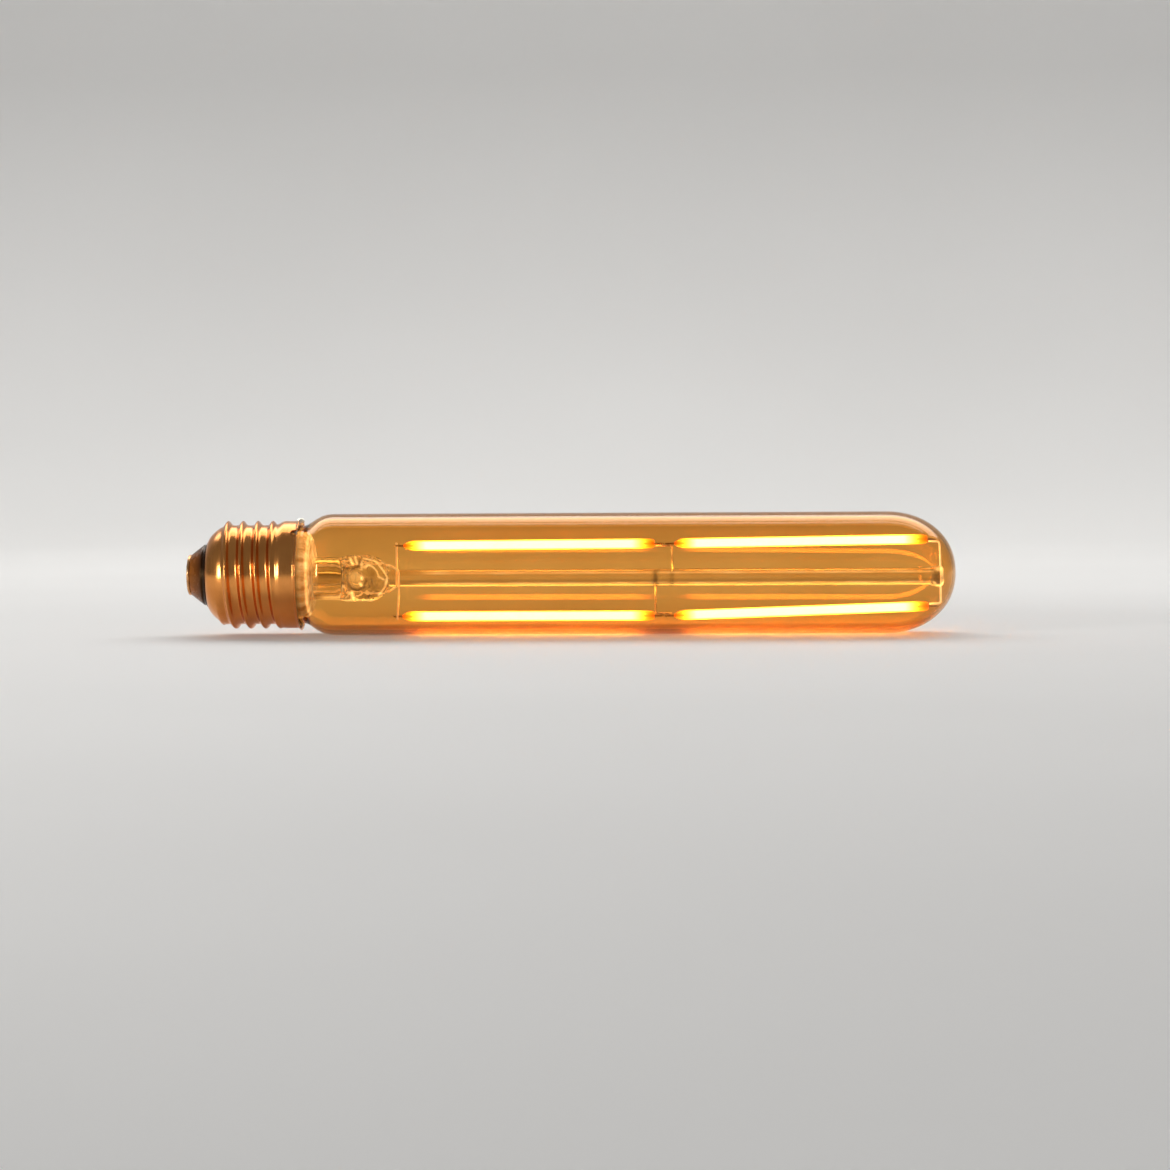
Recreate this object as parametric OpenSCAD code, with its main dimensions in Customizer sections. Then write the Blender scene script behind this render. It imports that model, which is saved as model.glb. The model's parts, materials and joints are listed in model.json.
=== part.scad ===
// Tubular filament bulb with a screw cap, lying along +X.
// The origin is the centre of the contact's face, on the axis of the tube, and +Z is up.

/* [Glass tube] */
// Length of the bulb from the contact's face to the tip of the dome
bulb_length = 185; // [175:1:200]
// Outer diameter of the glass tube
tube_d = 29.25; // [28.5:0.25:31]
// Wall of the glass tube
glass_wall = 1.1; // [0.8:0.1:1.4]
// Wall of the glass at the tip of the dome
tip_wall = 0.9; // [0.7:0.1:1.2]
// Length of the dome along the tube
dome_length = 17; // [15:0.5:20]
// Exponent of the dome's curve, where 2 is a plain ellipse
dome_curve_share = 2.15; // [2:0.05:2.3]

/* [Neck and seal] */
// Gap between the glass neck and the inside of the cap's skirt, filled with cement
neck_gap = 0.8; // [0.7:0.05:1.2]
// Depth of the neck inside the cap
neck_depth = 2.8; // [2.4:0.1:2.9]
// Distance past the cap's rim where the neck starts to widen
neck_reach = 0.8; // [0.3:0.1:1]
// Length over which the neck widens to the tube
neck_flare_length = 8; // [7:0.5:10]
// Thickness of the fused lip that closes the neck
seal_lip = 0.6; // [0.4:0.1:0.8]

/* [Screw cap] */
// Length of the cap from the contact's face to the shell's rim
cap_length = 27.4; // [26.8:0.1:28.4]
// Diameter over the crests of the thread
thread_d = 26.1; // [26:0.05:26.4]
// Depth of the thread from crest to root
thread_depth = 1.1; // [0.9:0.05:1.2]
// Pitch of the thread
thread_pitch = 3.629; // [3.5:0.001:3.7]
// Place of the first crest, on the top of the shell
first_crest = 9.7; // [9.5:0.1:10.3]
// Length of the skirt, from where the thread starts to run out to the rim
skirt_length = 6.5; // [6.3:0.1:7]
// Exponent that makes the crests narrower than the roots
crest_curve_share = 2.6; // [1.6:0.1:3]
// Thickness of the shell's sheet
shell_wall = 0.3; // [0.2:0.05:0.4]
// Step from the thread's crests down to the plain skirt
skirt_step = 0.1; // [0.05:0.05:0.2]
// Step from the plain skirt up to its flared rim
rim_step = 0.5; // [0.3:0.05:0.6]
// Length of the flared rim
rim_length = 0.7; // [0.5:0.1:1]
// Diameter of the shell's small end
mouth_d = 16.4; // [16:0.1:17]
// Length of the shell's rounded shoulder
shoulder_length = 4.3; // [4:0.1:4.6]
// Width of the notch in the rim
notch_w = 1.7; // [1:0.1:2.2]
// Length of the notch in the rim
notch_length = 2; // [1:0.1:2.4]

/* [Contact and insulator] */
// Diameter of the centre contact
contact_d = 9.8; // [9.2:0.1:10.4]
// Height of the centre contact
contact_height = 0.7; // [0.6:0.05:0.9]
// Diameter of the solder in the contact's eye
eye_d = 3.6; // [3:0.1:4]
// Length of the insulator's cone
cone_length = 4.3; // [4:0.1:4.6]
// Thickness of the insulator behind the cone, inside the shell
insulator_back = 1.7; // [1.4:0.1:2]
// Diameter of the insulator's hole for the centre lead
insulator_bore = 1.6; // [1.2:0.1:2]
// Diameter of the solder on the rim
rim_solder_d = 2.2; // [1.6:0.1:2.6]

/* [Stem] */
// Distance of the stem's centre line below the tube's
stem_drop = 1; // [0:0.1:1.4]
// Distance from the cap's rim to the stem's flat shoulder
flare_reach = 2.9; // [2.6:0.1:4]
// Radius of the flare's outer corner
flare_corner = 2; // [1.5:0.1:2.5]
// Wall of the flare
flare_wall = 1; // [0.7:0.1:1.2]
// Diameter of the stem tube
stem_d = 10.4; // [10:0.1:11]
// Wall of the stem tube
stem_wall = 1.2; // [1:0.1:1.4]
// Length of the stem tube from the shoulder to the press
stem_length = 7.4; // [6:0.1:8]
// Length of the press
press_length = 11.2; // [10:0.1:13]
// Width of the press across its flat faces' plane
press_w = 11.2; // [11:0.1:12]
// Thickness of the press
press_t = 6; // [5.6:0.1:6.6]
// Diameter of the exhaust port in the press
port_d = 2.6; // [2:0.1:2.8]
// Width of the port's rounded rim
port_rim = 1; // [0.6:0.1:1.2]
// Diameter of the exhaust tube
exhaust_d = 4.2; // [3.8:0.1:4.4]
// Wall of the exhaust tube
exhaust_wall = 0.8; // [0.6:0.1:1]
// Gap between the driver's board and the exhaust tube's sealed tip
exhaust_gap = 0.6; // [0.4:0.1:2]

/* [Rod and wires] */
// Diameter of the glass rod
rod_d = 4.1; // [3.6:0.1:4.4]
// Depth of the rod's root in the press
rod_root = 3.5; // [2.5:0.1:4]
// Diameter of the button at the rod's end
button_d = 5; // [4.6:0.1:5.4]
// Length of the button
button_length = 2.6; // [2.2:0.1:3]
// Diameter of the wires inside the glass
wire_d = 0.5; // [0.4:0.05:0.6]
// Distance of each lead from the stem's centre line in the press
lead_spread = 3.2; // [3:0.05:3.4]
// Diameter of the lead between the driver and the rim
rim_lead_d = 0.4; // [0.3:0.05:0.45]

/* [Filaments] */
// Diameter of a filament's coating
coat_d = 2.4; // [2:0.1:2.8]
// Diameter of the coating's blunt tips
coat_tip_d = 1.5; // [1.4:0.05:1.7]
// Length of the coating's tapered tips
coat_taper = 2.6; // [1.5:0.1:4]
// Width of a filament's strip
strip_w = 1.2; // [1:0.05:1.3]
// Thickness of a filament's strip
strip_t = 0.4; // [0.3:0.05:0.5]
// Distance from the press to the first coating
first_gap = 3.1; // [2.8:0.1:4]
// Distance between the coatings of two filaments in line
middle_gap = 4.7; // [4:0.1:6]
// Distance from the last coating to the crown wire
last_gap = 3; // [2.4:0.1:3.4]
// Height of the upper filaments at the stem, as a share of the tube's radius
upper_start_share = 0.465; // [0.45:0.005:0.49]
// Height of the upper filaments at the middle, as a share of the tube's radius
upper_middle_share = 0.485; // [0.46:0.005:0.5]
// Height of the upper filaments at the crown, as a share of the tube's radius
upper_end_share = 0.54; // [0.49:0.005:0.55]
// Depth of the lower filaments at the stem, as a share of the tube's radius
lower_start_share = 0.69; // [0.64:0.005:0.7]
// Depth of the lower filaments at the middle, as a share of the tube's radius
lower_middle_share = 0.69; // [0.62:0.005:0.7]
// Depth of the lower filaments at the crown, as a share of the tube's radius
lower_end_share = 0.55; // [0.51:0.005:0.56]

/* [Driver] */
// Thickness of the driver's board
board_t = 1; // [0.8:0.1:1.2]
// Depth of the board's upper face under the tube's axis
board_drop = 1; // [0.6:0.1:1.4]
// Width of the board's narrow end by the insulator
board_nose_w = 16; // [14:0.5:17]
// Length of the board's narrow end
board_nose_length = 2.8; // [2.6:0.1:3.4]
// Diameter of the capacitor
capacitor_d = 6.3; // [5:0.1:6.6]
// Length of the capacitor's can
capacitor_length = 8.5; // [6:0.1:9]
// Diameter of the fuse resistor's body
fuse_d = 1.8; // [1.4:0.1:2]
// Length of the fuse resistor's body
fuse_length = 4; // [3:0.1:4.2]
// Wall of the sleeve round the fuse resistor
sleeve_wall = 0.3; // [0.2:0.05:0.4]
// Length of the rectifier's body, along the board's width
rectifier_length = 4.7; // [4:0.1:5]
// Width of the rectifier's body
rectifier_w = 3.8; // [3.4:0.1:4]
// Length of the driver chip's body
chip_length = 4.9; // [4.4:0.1:5.2]
// Width of the driver chip's body
chip_w = 3.9; // [3.4:0.1:4.2]
// Height of the bodies soldered flat on the board
package_height = 1.5; // [1.2:0.1:1.8]

/* [Hidden] */
$fn = 48;

// Overrun of every cut
over = 0.5;
// Gap round a piece that is fused, cast or soldered into another
fit_gap = 0.05;
// Gap between a wire and the strip that is welded to it
weld_gap = 0.08;
// Gap round a piece that is only laid in another
loose_gap = 0.3;
// Ball at a bent bar's bend, as a share of the bar's thickness
bend_share = 1.2;
// Reach of a wire's bend, as a share of the wire's radius
bend_reach_share = 3;
// Longest reach of a bend, as a share of the straight run beside it
bend_run_share = 0.4;
bend_steps = 4;
wire_sides = 10;

tube_r = tube_d / 2;
seal_x = cap_length - neck_depth;
neck_x = cap_length + neck_reach;
// Exponents of the neck's curve, towards the tube and towards the cap
neck_out_share = 3;
neck_in_share = 2;
dome_x = bulb_length - dome_length;
neck_steps = 12;
dome_steps = 18;
// Steps of a quarter round
round_steps = 6;

thread_r = thread_d / 2;
root_r = thread_r - thread_depth;
thread_end = cap_length - skirt_length;
skirt_r = thread_r - skirt_step;
rim_r = skirt_r + rim_step;
neck_r = skirt_r - shell_wall - neck_gap;
mouth_r = mouth_d / 2;
mouth_x = contact_height + cone_length;
shoulder_x = mouth_x + shoulder_length;
shoulder_curve_share = 1.4;
// The shoulder's rings are closer at its steep small end
shoulder_ring_share = 1.5;
// Run-in and run-out of the thread, in turns
run_in_share = 0.35;
run_out_share = 0.8;
run_out_end = thread_end + thread_pitch * run_out_share;
thread_segments = 36;
rings_per_turn = 10;
ring_gap = thread_pitch / rings_per_turn;
shoulder_rings = 6;
// Places round the shell, from the top towards the front
notch_angle = 37;
rim_lead_angle = 10;

contact_r = contact_d / 2;
contact_edge = contact_height / 2;
cone_groove_share = 0.07;
cone_groove = cone_length * cone_groove_share;
insulator_end = mouth_x + insulator_back;

stem_z = -stem_drop;
flare_x = cap_length + flare_reach;
stem_r = stem_d / 2;
press_x = flare_x + stem_length;
press_end = press_x + press_length;
press_r = press_w / 2;
stem_bore_end = press_x - stem_wall / 3;
// Place of the exhaust port, along and across the press
port_place_share = 0.27;
port_rise_share = 0.067;
port_x = press_x + press_length * port_place_share;
port_rise = press_w * port_rise_share;
exhaust_r = exhaust_d / 2;

rod_r = rod_d / 2;
wire_r = wire_d / 2;
rim_lead_r = rim_lead_d / 2;
crown_inset_share = 0.22;
// Place of the crown wire along the button
button_wire_share = 0.7;
crown_x = bulb_length - dome_length * crown_inset_share;

// Filaments lie beside the plane of the rod, so that the leads pass the rod on both sides
lead_side = rod_r + loose_gap + wire_r;
filament_side = lead_side - wire_r - weld_gap - strip_w / 2;
coat_r = coat_d / 2;
first_x = press_end + first_gap;
last_x = crown_x - last_gap;
coat_length = (last_x - first_x - middle_gap) / 2;
left_end = first_x + coat_length;
right_start = left_end + middle_gap;
tab_length = (middle_gap - loose_gap) / 2;
// A wire that carries a strip lies this far from the strip's middle plane
carry = strip_t / 2 + weld_gap + wire_r;

board_top = -board_drop;
board_bottom = board_top - board_t;
board_start = insulator_end + loose_gap;
board_end = seal_x - seal_lip - loose_gap;
board_r = root_r - shell_wall - loose_gap;
board_w = 2 * sqrt(board_r * board_r - board_bottom * board_bottom);

// Rows of parts lie this far out on the board, and the lead to the rim further
side_row_share = 0.42;
resistor_row_share = 0.5;
far_row_share = 0.7;
// Places of the parts along the board
rectifier_place_share = 0.72;
chip_place_share = 0.6;
resistor_place_share = 0.45;
capacitor_place_share = 0.94;
// Groove round the capacitor's can and gap between its leads, as shares of its diameter
can_groove_share = 0.06;
can_lead_share = 0.2;

// The fuse resistor lies on the board's narrow end, inside its sleeve
fuse_r = fuse_d / 2;
fuse_x = board_start + 3 * wire_d;
fuse_end = fuse_x + fuse_length;
fuse_axis = [0, -board_w / 2 * side_row_share, board_top + fuse_r + sleeve_wall + 2 * fit_gap];

// Inner radius of the shell's flats, less the gap to what is set in them
function inside_shell(r) = (r - shell_wall) * cos(180 / thread_segments) - fit_gap;
function clamp01(t) = min(1, max(0, t));
function smooth(t) = t * t * (3 - 2 * t);
function ramp(t) = smooth(clamp01(t));
function polar(r, angle) = [-r * sin(angle), r * cos(angle)];
function unit(v) = v / norm(v);
function reversed(list) = [for (i = [len(list) - 1 : -1 : 0]) list[i]];

// A path's points, with each inner one replaced by a curve that starts and ends a reach from it
function rounded(points, reach) = [
    points[0],
    for (i = [1 : len(points) - 2], k = [0 : bend_steps])
        let (back = points[i - 1] - points[i], on = points[i + 1] - points[i], t = k / bend_steps)
        points[i]
            + pow(1 - t, 2) * unit(back) * min(reach, norm(back) * bend_run_share)
            + pow(t, 2) * unit(on) * min(reach, norm(on) * bend_run_share),
    points[len(points) - 1],
];

// Outer radius of the glass from the neck to the tube
function glass_r(x) =
    let (u = clamp01((x - neck_x) / neck_flare_length))
    neck_r + (tube_r - neck_r) * pow(1 - pow(1 - u, neck_out_share), neck_in_share);

// Superellipse from [0, height] to [length, 0]
function dome_curve(length, height) = [
    for (i = [0 : dome_steps])
        let (a = 90 * i / dome_steps, e = 2 / dome_curve_share)
        [length * pow(sin(a), e), height * pow(max(0, cos(a)), e)]
];

// Outline of the glass as [x, radius], inset by a wall
function glass_outline(wall, tip) = concat(
    [[seal_x, neck_r - wall]],
    [for (i = [0 : neck_steps])
        let (x = neck_x + neck_flare_length * i / neck_steps) [x, glass_r(x) - wall]],
    [for (p = dome_curve(dome_length - tip, tube_r - wall)) [dome_x + p.x, p.y]]
);

// Outline of the flare's outside as [x, radius], inset by a wall
function flare_outline(wall) =
    let (c = flare_corner - wall, x1 = flare_x - flare_corner)
    let (gap = glass_wall + loose_gap + wall, r1 = glass_r(x1) - gap)
    concat(
        [for (i = [0 : neck_steps])
            let (x = seal_x + (x1 - seal_x) * i / neck_steps) [x, glass_r(x) - gap]],
        [for (i = [1 : round_steps])
            let (a = 90 * i / round_steps) [x1 + c * sin(a), r1 - c + c * cos(a)]]
    );

// Points of a filament's centre line
function filament_z(upper, x) =
    let (z0 = tube_r * (upper ? upper_start_share : -lower_start_share))
    let (z1 = tube_r * (upper ? upper_middle_share : -lower_middle_share))
    let (z2 = tube_r * (upper ? upper_end_share : -lower_end_share))
    x < (left_end + right_start) / 2
        ? z0 + (z1 - z0) * (x - first_x) / coat_length
        : z1 + (z2 - z1) * (x - right_start) / coat_length;
function filament_point(upper, x) = [x, upper ? filament_side : -filament_side, filament_z(upper, x)];
// The same, moved towards the rod by the carrying wire's offset
function carried_point(upper, x) = filament_point(upper, x) - [0, 0, upper ? carry : -carry];

// Radius of the shell at a place and an angle from the top
function shoulder_r(x) =
    let (u = clamp01((x - mouth_x) / shoulder_length), e = shoulder_curve_share)
    mouth_r + (root_r - mouth_r) * pow(1 - pow(1 - u, e), 1 / e);
function crest(x, angle) =
    pow((1 + cos(360 * (x - first_crest) / thread_pitch - angle)) / 2, crest_curve_share);
function shell_r(x, angle) =
    let (begin = ramp(1 + (x - first_crest + thread_pitch / 4) / (thread_pitch * run_in_share)))
    let (finish = ramp((x - thread_end) / (run_out_end - thread_end)))
    let (rim = ramp((x - cap_length + rim_length) / rim_length))
    shoulder_r(x)
        + thread_depth * crest(x, angle) * begin * (1 - finish)
        + (skirt_r - root_r) * finish
        + (rim_r - skirt_r) * rim;

module along_x() {
    rotate([0, 90, 0])
        children();
}

// Revolves an outline of [x, radius] points round the X axis
module revolve_x(outline) {
    along_x()
        rotate_extrude()
            polygon([for (p = outline) [p.y, p.x]]);
}

module rod_x(r, start, end) {
    translate([start, 0, 0])
        along_x()
            cylinder(r = r, h = end - start);
}

module box_between(low, high) {
    translate(low)
        cube(high - low);
}

// Round bar between two points
module bar(a, b, r) {
    v = b - a;
    translate(a)
        rotate([0, acos(v.z / norm(v)), atan2(v.y, v.x)])
            cylinder(r = r, h = norm(v));
}

// Bar bent at each of a list of points, for short leads and for the channels of wires
module bent_bar(points, r) {
    for (i = [0 : len(points) - 2])
        bar(points[i], points[i + 1], r);
    for (i = [1 : len(points) - 2])
        translate(points[i])
            sphere(r = r * bend_share);
}

// Soft wire through a list of points, with a rounded bend at each
module wire(points, r) {
    path = rounded(points, bend_reach_share * r);
    last = len(path) - 1;
    n = wire_sides;
    skin = [
        for (i = [0 : last])
            let (along = unit(path[min(i + 1, last)] - path[max(i - 1, 0)]))
            let (side = unit(cross(along, [0, 1, 1])), up = cross(side, along))
            for (j = [0 : n - 1]) path[i] + r * (cos(360 * j / n) * side + sin(360 * j / n) * up)
    ];
    faces = concat(
        [[for (j = [0 : n - 1]) j]],
        [[for (j = [n - 1 : -1 : 0]) last * n + j]],
        [for (i = [0 : last - 1], j = [0 : n - 1], k = [0, 1])
            let (a = i * n + j, b = i * n + (j + 1) % n)
            k == 0 ? [a, a + n, b] : [b, a + n, b + n]]
    );
    polyhedron(skin, faces);
}

module at_stem() {
    translate([0, 0, stem_z])
        children();
}

module glass_envelope() {
    color([0.85, 0.5, 0.15, 0.35])
        revolve_x(concat(glass_outline(0, 0), reversed(glass_outline(glass_wall, tip_wall))));
}

// Stem: flare, tube and press, blown as one piece
module stem_flare() {
    outside = flare_outline(0);
    inside = flare_outline(flare_wall);
    lip_x = seal_x - seal_lip;
    cavity_x = flare_x - flare_wall;
    color([0.85, 0.65, 0.3, 0.5])
        difference() {
            union() {
                revolve_x(concat(
                    [[lip_x, 0], [lip_x, neck_r], [seal_x, neck_r]],
                    outside,
                    [[flare_x, 0]]
                ));
                at_stem()
                    press_body();
            }
            revolve_x(concat([[lip_x - over, 0], [lip_x - over, inside[0].y]], inside, [[cavity_x, 0]]));
            at_stem()
                rod_x(stem_r - stem_wall, cavity_x - over, stem_bore_end);
            at_stem()
                rod_x(exhaust_r - exhaust_wall, stem_bore_end - over, port_x);
            port_cut();
            at_stem()
                rod_x(rod_r + fit_gap, press_end - rod_root, press_end + over);
            bent_bar(upper_lead_points(), wire_r + fit_gap);
            bent_bar(lower_lead_points(), wire_r + fit_gap);
        }
}

// Tube and press round the stem's centre line, squeezed flat where the press is
module press_body() {
    flat = press_t / 2;
    wide = press_w;
    squeeze_start = press_x - stem_wall;
    squeeze_end = press_x + flat / 2;
    end_length = press_r;
    end_x = press_end - end_length;
    intersection() {
        revolve_x(concat(
            [[flare_x - flare_wall, 0], [flare_x - flare_wall, stem_r], [squeeze_start, stem_r]],
            [for (p = round_end(end_length, press_r)) [end_x + p.x, p.y]]
        ));
        translate([0, 0, -wide])
            linear_extrude(2 * wide)
                polygon([
                    [flare_x - flare_wall - over, -wide], [squeeze_start, -wide], [squeeze_start, -stem_r],
                    [squeeze_end, -flat], [press_end + over, -flat],
                    [press_end + over, flat], [squeeze_end, flat],
                    [squeeze_start, stem_r], [squeeze_start, wide], [flare_x - flare_wall - over, wide],
                ]);
    }
    translate([port_x, -flat, port_rise])
        rotate([90, 0, 0])
            rotate_extrude()
                translate([(port_d + port_rim) / 2, 0])
                    circle(d = port_rim);
}

function round_end(length, height) = [
    for (i = [0 : neck_steps])
        let (a = 90 * i / neck_steps) [length * sin(a), i == neck_steps ? 0 : height * cos(a)]
];

module port_cut() {
    at_stem()
        translate([port_x, 0, port_rise])
            rotate([90, 0, 0])
                cylinder(d = port_d, h = press_t / 2 + port_rim + over);
}

module exhaust_tube() {
    tip_x = board_end + exhaust_gap;
    bore_r = exhaust_r - exhaust_wall;
    color([0.85, 0.65, 0.3, 0.5])
        at_stem()
            difference() {
                revolve_x(concat(
                    [for (p = round_end(exhaust_d, exhaust_r)) [tip_x + exhaust_d - p.x, p.y]],
                    [[stem_bore_end, 0], [stem_bore_end, exhaust_r]]
                ));
                rod_x(bore_r, tip_x + exhaust_d, stem_bore_end + over);
            }
}

module support_rod() {
    root_x = press_end - rod_root;
    button_r = button_d / 2;
    button_x = crown_x - button_length * button_wire_share;
    button_end = button_x + button_length;
    round = button_length / 4;
    color([0.85, 0.65, 0.3, 0.5])
        difference() {
            at_stem()
                revolve_x([
                    [root_x, 0], [root_x, rod_r], [button_x - round, rod_r],
                    [button_x, button_r - round / 2], [button_x + round, button_r],
                    [button_end - round, button_r], [button_end, button_r - round], [button_end, 0],
                ]);
            bent_bar(crown_points(), wire_r + fit_gap);
            bent_bar(support_points(true), wire_r + fit_gap);
            bent_bar(support_points(false), wire_r + fit_gap);
        }
}

// Places of the shell's rings along the axis
shell_places = concat(
    [for (i = [0 : shoulder_rings - 1])
        mouth_x + shoulder_length * pow(i / shoulder_rings, shoulder_ring_share)],
    [for (x = [shoulder_x : ring_gap : run_out_end - ring_gap / 2]) x],
    [run_out_end, cap_length - notch_length],
    [cap_length - rim_length, cap_length - rim_length / 2, cap_length]
);

// Rolled sheet shell with its right-handed knuckle thread
module screw_shell() {
    n = thread_segments;
    rings = len(shell_places);
    points = [
        for (wall = [0, shell_wall], x = shell_places, j = [0 : n - 1])
            let (a = 360 * j / n, p = polar(shell_r(x, a) - wall, a))
            [x, p.x, p.y]
    ];
    function at(side, i, j) = (side * rings + i) * n + j % n;
    faces = concat(
        [for (i = [0 : rings - 2], j = [0 : n - 1], k = [0, 1])
            k == 0 ? [at(0, i, j), at(0, i + 1, j), at(0, i + 1, j + 1)]
                   : [at(0, i, j), at(0, i + 1, j + 1), at(0, i, j + 1)]],
        [for (i = [0 : rings - 2], j = [0 : n - 1], k = [0, 1])
            k == 0 ? [at(1, i, j), at(1, i + 1, j + 1), at(1, i + 1, j)]
                   : [at(1, i, j), at(1, i, j + 1), at(1, i + 1, j + 1)]],
        [for (j = [0 : n - 1]) [at(0, 0, j), at(0, 0, j + 1), at(1, 0, j + 1), at(1, 0, j)]],
        [for (j = [0 : n - 1])
            [at(0, rings - 1, j), at(1, rings - 1, j), at(1, rings - 1, j + 1), at(0, rings - 1, j + 1)]]
    );
    color([0.85, 0.5, 0.25])
        difference() {
            polyhedron(points, faces);
            rotate([notch_angle, 0, 0])
                translate([cap_length, 0, skirt_r - 2 * shell_wall])
                    linear_extrude(rim_r)
                        polygon([[over, -notch_w / 2], [over, notch_w / 2], [-notch_length, 0]]);
        }
}

// Cast insulator that holds the contact and the shell's small end
module cap_insulator() {
    waist_r = inside_shell(mouth_r);
    groove_x = mouth_x - 3 * cone_groove;
    back = [
        for (i = [0 : 4])
            let (x = mouth_x + shell_wall + (insulator_back - shell_wall) * i / 4)
            [x, inside_shell(shoulder_r(x - shell_wall))]
    ];
    color([0.35, 0.16, 0.06])
        difference() {
            revolve_x(concat(
                [[contact_height, 0], [contact_height, contact_r]],
                [[groove_x, cone_r(groove_x)], [groove_x + cone_groove, cone_r(groove_x) - cone_groove],
                 [mouth_x - cone_groove, cone_r(groove_x)], [mouth_x - fit_gap, mouth_r - cone_groove],
                 [mouth_x - fit_gap, waist_r], [mouth_x + shell_wall, waist_r]],
                back,
                [[insulator_end, 0]]
            ));
            rod_x(insulator_bore / 2, contact_height - over, insulator_end + over);
        }
}

function cone_r(x) = contact_r + (mouth_r - contact_r) * (x - contact_height) / cone_length;

module centre_contact() {
    color([0.8, 0.6, 0.35])
        difference() {
            revolve_x(concat(
                [[0, 0], [0, contact_r - contact_edge]],
                [for (i = [1 : round_steps])
                    let (a = 90 * i / round_steps)
                    [contact_edge * (1 - cos(a)), contact_r - contact_edge + contact_edge * sin(a)]],
                [[contact_height, contact_r], [contact_height, 0]]
            ));
            rod_x(eye_d / 2, -over, contact_height + over);
        }
}

module contact_solder() {
    color([0.75, 0.75, 0.76])
        difference() {
            rod_x(eye_d / 2 - fit_gap, 0, contact_height);
            rod_x(wire_r + fit_gap, contact_height / 2, contact_height + over);
        }
}

// Solder that joins the driver's lead to the outside of the rim
module rim_solder() {
    start = polar(rim_r, rim_lead_angle);
    color([0.8, 0.78, 0.72])
        difference() {
            translate([cap_length, start.x, start.y])
                sphere(d = rim_solder_d);
            revolve_x([
                [cap_length - rim_solder_d, 0], [cap_length - rim_solder_d, skirt_r + fit_gap],
                [cap_length - rim_length, skirt_r + fit_gap], [cap_length - fit_gap, rim_r + fit_gap],
                [cap_length + fit_gap, rim_r + fit_gap], [cap_length + fit_gap, 0],
            ]);
            revolve_x(concat(
                [[cap_length, 0]],
                [for (i = [0 : neck_steps])
                    let (x = cap_length + rim_solder_d * i / neck_steps) [x, glass_r(x) + fit_gap]],
                [[cap_length + rim_solder_d, 0]]
            ));
            bent_bar(rim_lead_points(), rim_lead_r + fit_gap);
        }
}

// Cement between the neck and the skirt
module capping_cement() {
    start = run_out_end;
    end = cap_length - fit_gap;
    color([0.9, 0.85, 0.75])
        difference() {
            revolve_x(concat(
                [[start, inside_shell(skirt_r)], [cap_length - rim_length, inside_shell(skirt_r)]],
                [[end, inside_shell(rim_r) - fit_gap]],
                [for (i = [0 : neck_steps])
                    let (x = end - (end - start) * i / neck_steps) [x, glass_r(x) + fit_gap]]
            ));
            bent_bar(rim_lead_points(), rim_lead_r + fit_gap);
        }
}

// Each lead rises from the board, passes the press and crosses over beside the rod
function upper_lead_points() =
    let (x = first_x - 7 * wire_r, tab = filament_z(true, x))
    [
        [board_end - 5 * wire_d, 4 * wire_d, board_bottom - wire_r - fit_gap],
        [board_end + loose_gap, 3 * wire_d, board_bottom - wire_r - fit_gap],
        [seal_x + 5 * wire_d, 0, stem_z - lead_spread],
        [press_end - wire_r, 0, stem_z - lead_spread],
        [x, lead_side, stem_z - rod_r],
        [x, lead_side, tab + 2 * strip_t],
    ];
function lower_lead_points() =
    let (x = first_x - 3 * wire_r, tab = filament_z(false, x))
    [
        [board_end - 5 * wire_d, -4 * wire_d, board_top + wire_r + fit_gap],
        [board_end + loose_gap, -3 * wire_d, board_top + wire_r + fit_gap],
        [seal_x + 5 * wire_d, 0, stem_z + lead_spread],
        [press_end - wire_r, 0, stem_z + lead_spread],
        [x, -lead_side, stem_z + rod_r],
        [x, -lead_side, tab - 2 * strip_t],
    ];

module lead_in_wire_upper() {
    color([0.75, 0.5, 0.3])
        wire(upper_lead_points(), wire_r);
}

module lead_in_wire_lower() {
    color([0.75, 0.5, 0.3])
        wire(lower_lead_points(), wire_r);
}

// A support lies along both tabs and turns into the rod, the upper at its crown end
function support_points(upper) =
    let (stem_end = carried_point(upper, left_end + wire_r))
    let (crown_end = carried_point(upper, right_start - 2 * wire_r))
    let (corner = upper ? crown_end : stem_end, far = upper ? stem_end : crown_end)
    let (away = [0, corner.y, corner.z - stem_z], root = away * (rod_r / 2) / norm(away))
    [far, corner, [corner.x, root.y, stem_z + root.z]];

module mid_support_upper() {
    color([0.75, 0.6, 0.45])
        wire(support_points(true), wire_r);
}

module mid_support_lower() {
    color([0.75, 0.6, 0.45])
        wire(support_points(false), wire_r);
}

// The crown wire joins the upper and the lower filament through the rod's button
function crown_points() = [
    carried_point(true, last_x + wire_r),
    carried_point(true, crown_x),
    [crown_x, 0, stem_z],
    carried_point(false, crown_x),
    carried_point(false, last_x + wire_r),
];

module crown_wire() {
    color([0.8, 0.7, 0.55])
        wire(crown_points(), wire_r);
}

// Turns +X to the line from one point to another
module aim(a, b) {
    v = b - a;
    translate(a)
        rotate([0, -asin(v.z / norm(v)), atan2(v.y, v.x)])
            children();
}

module at_filament(upper, crown) {
    x0 = crown ? right_start : first_x;
    x1 = crown ? last_x : left_end;
    aim(filament_point(upper, x0), filament_point(upper, x1))
        children();
}

module strip_body(extra) {
    box_between(
        [-tab_length - extra, -strip_w / 2, -strip_t / 2],
        [coat_length + tab_length + extra, strip_w / 2, strip_t / 2]
    );
}

module strip(upper, crown) {
    color([0.8, 0.75, 0.6])
        at_filament(upper, crown)
            strip_body(0);
}

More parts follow.
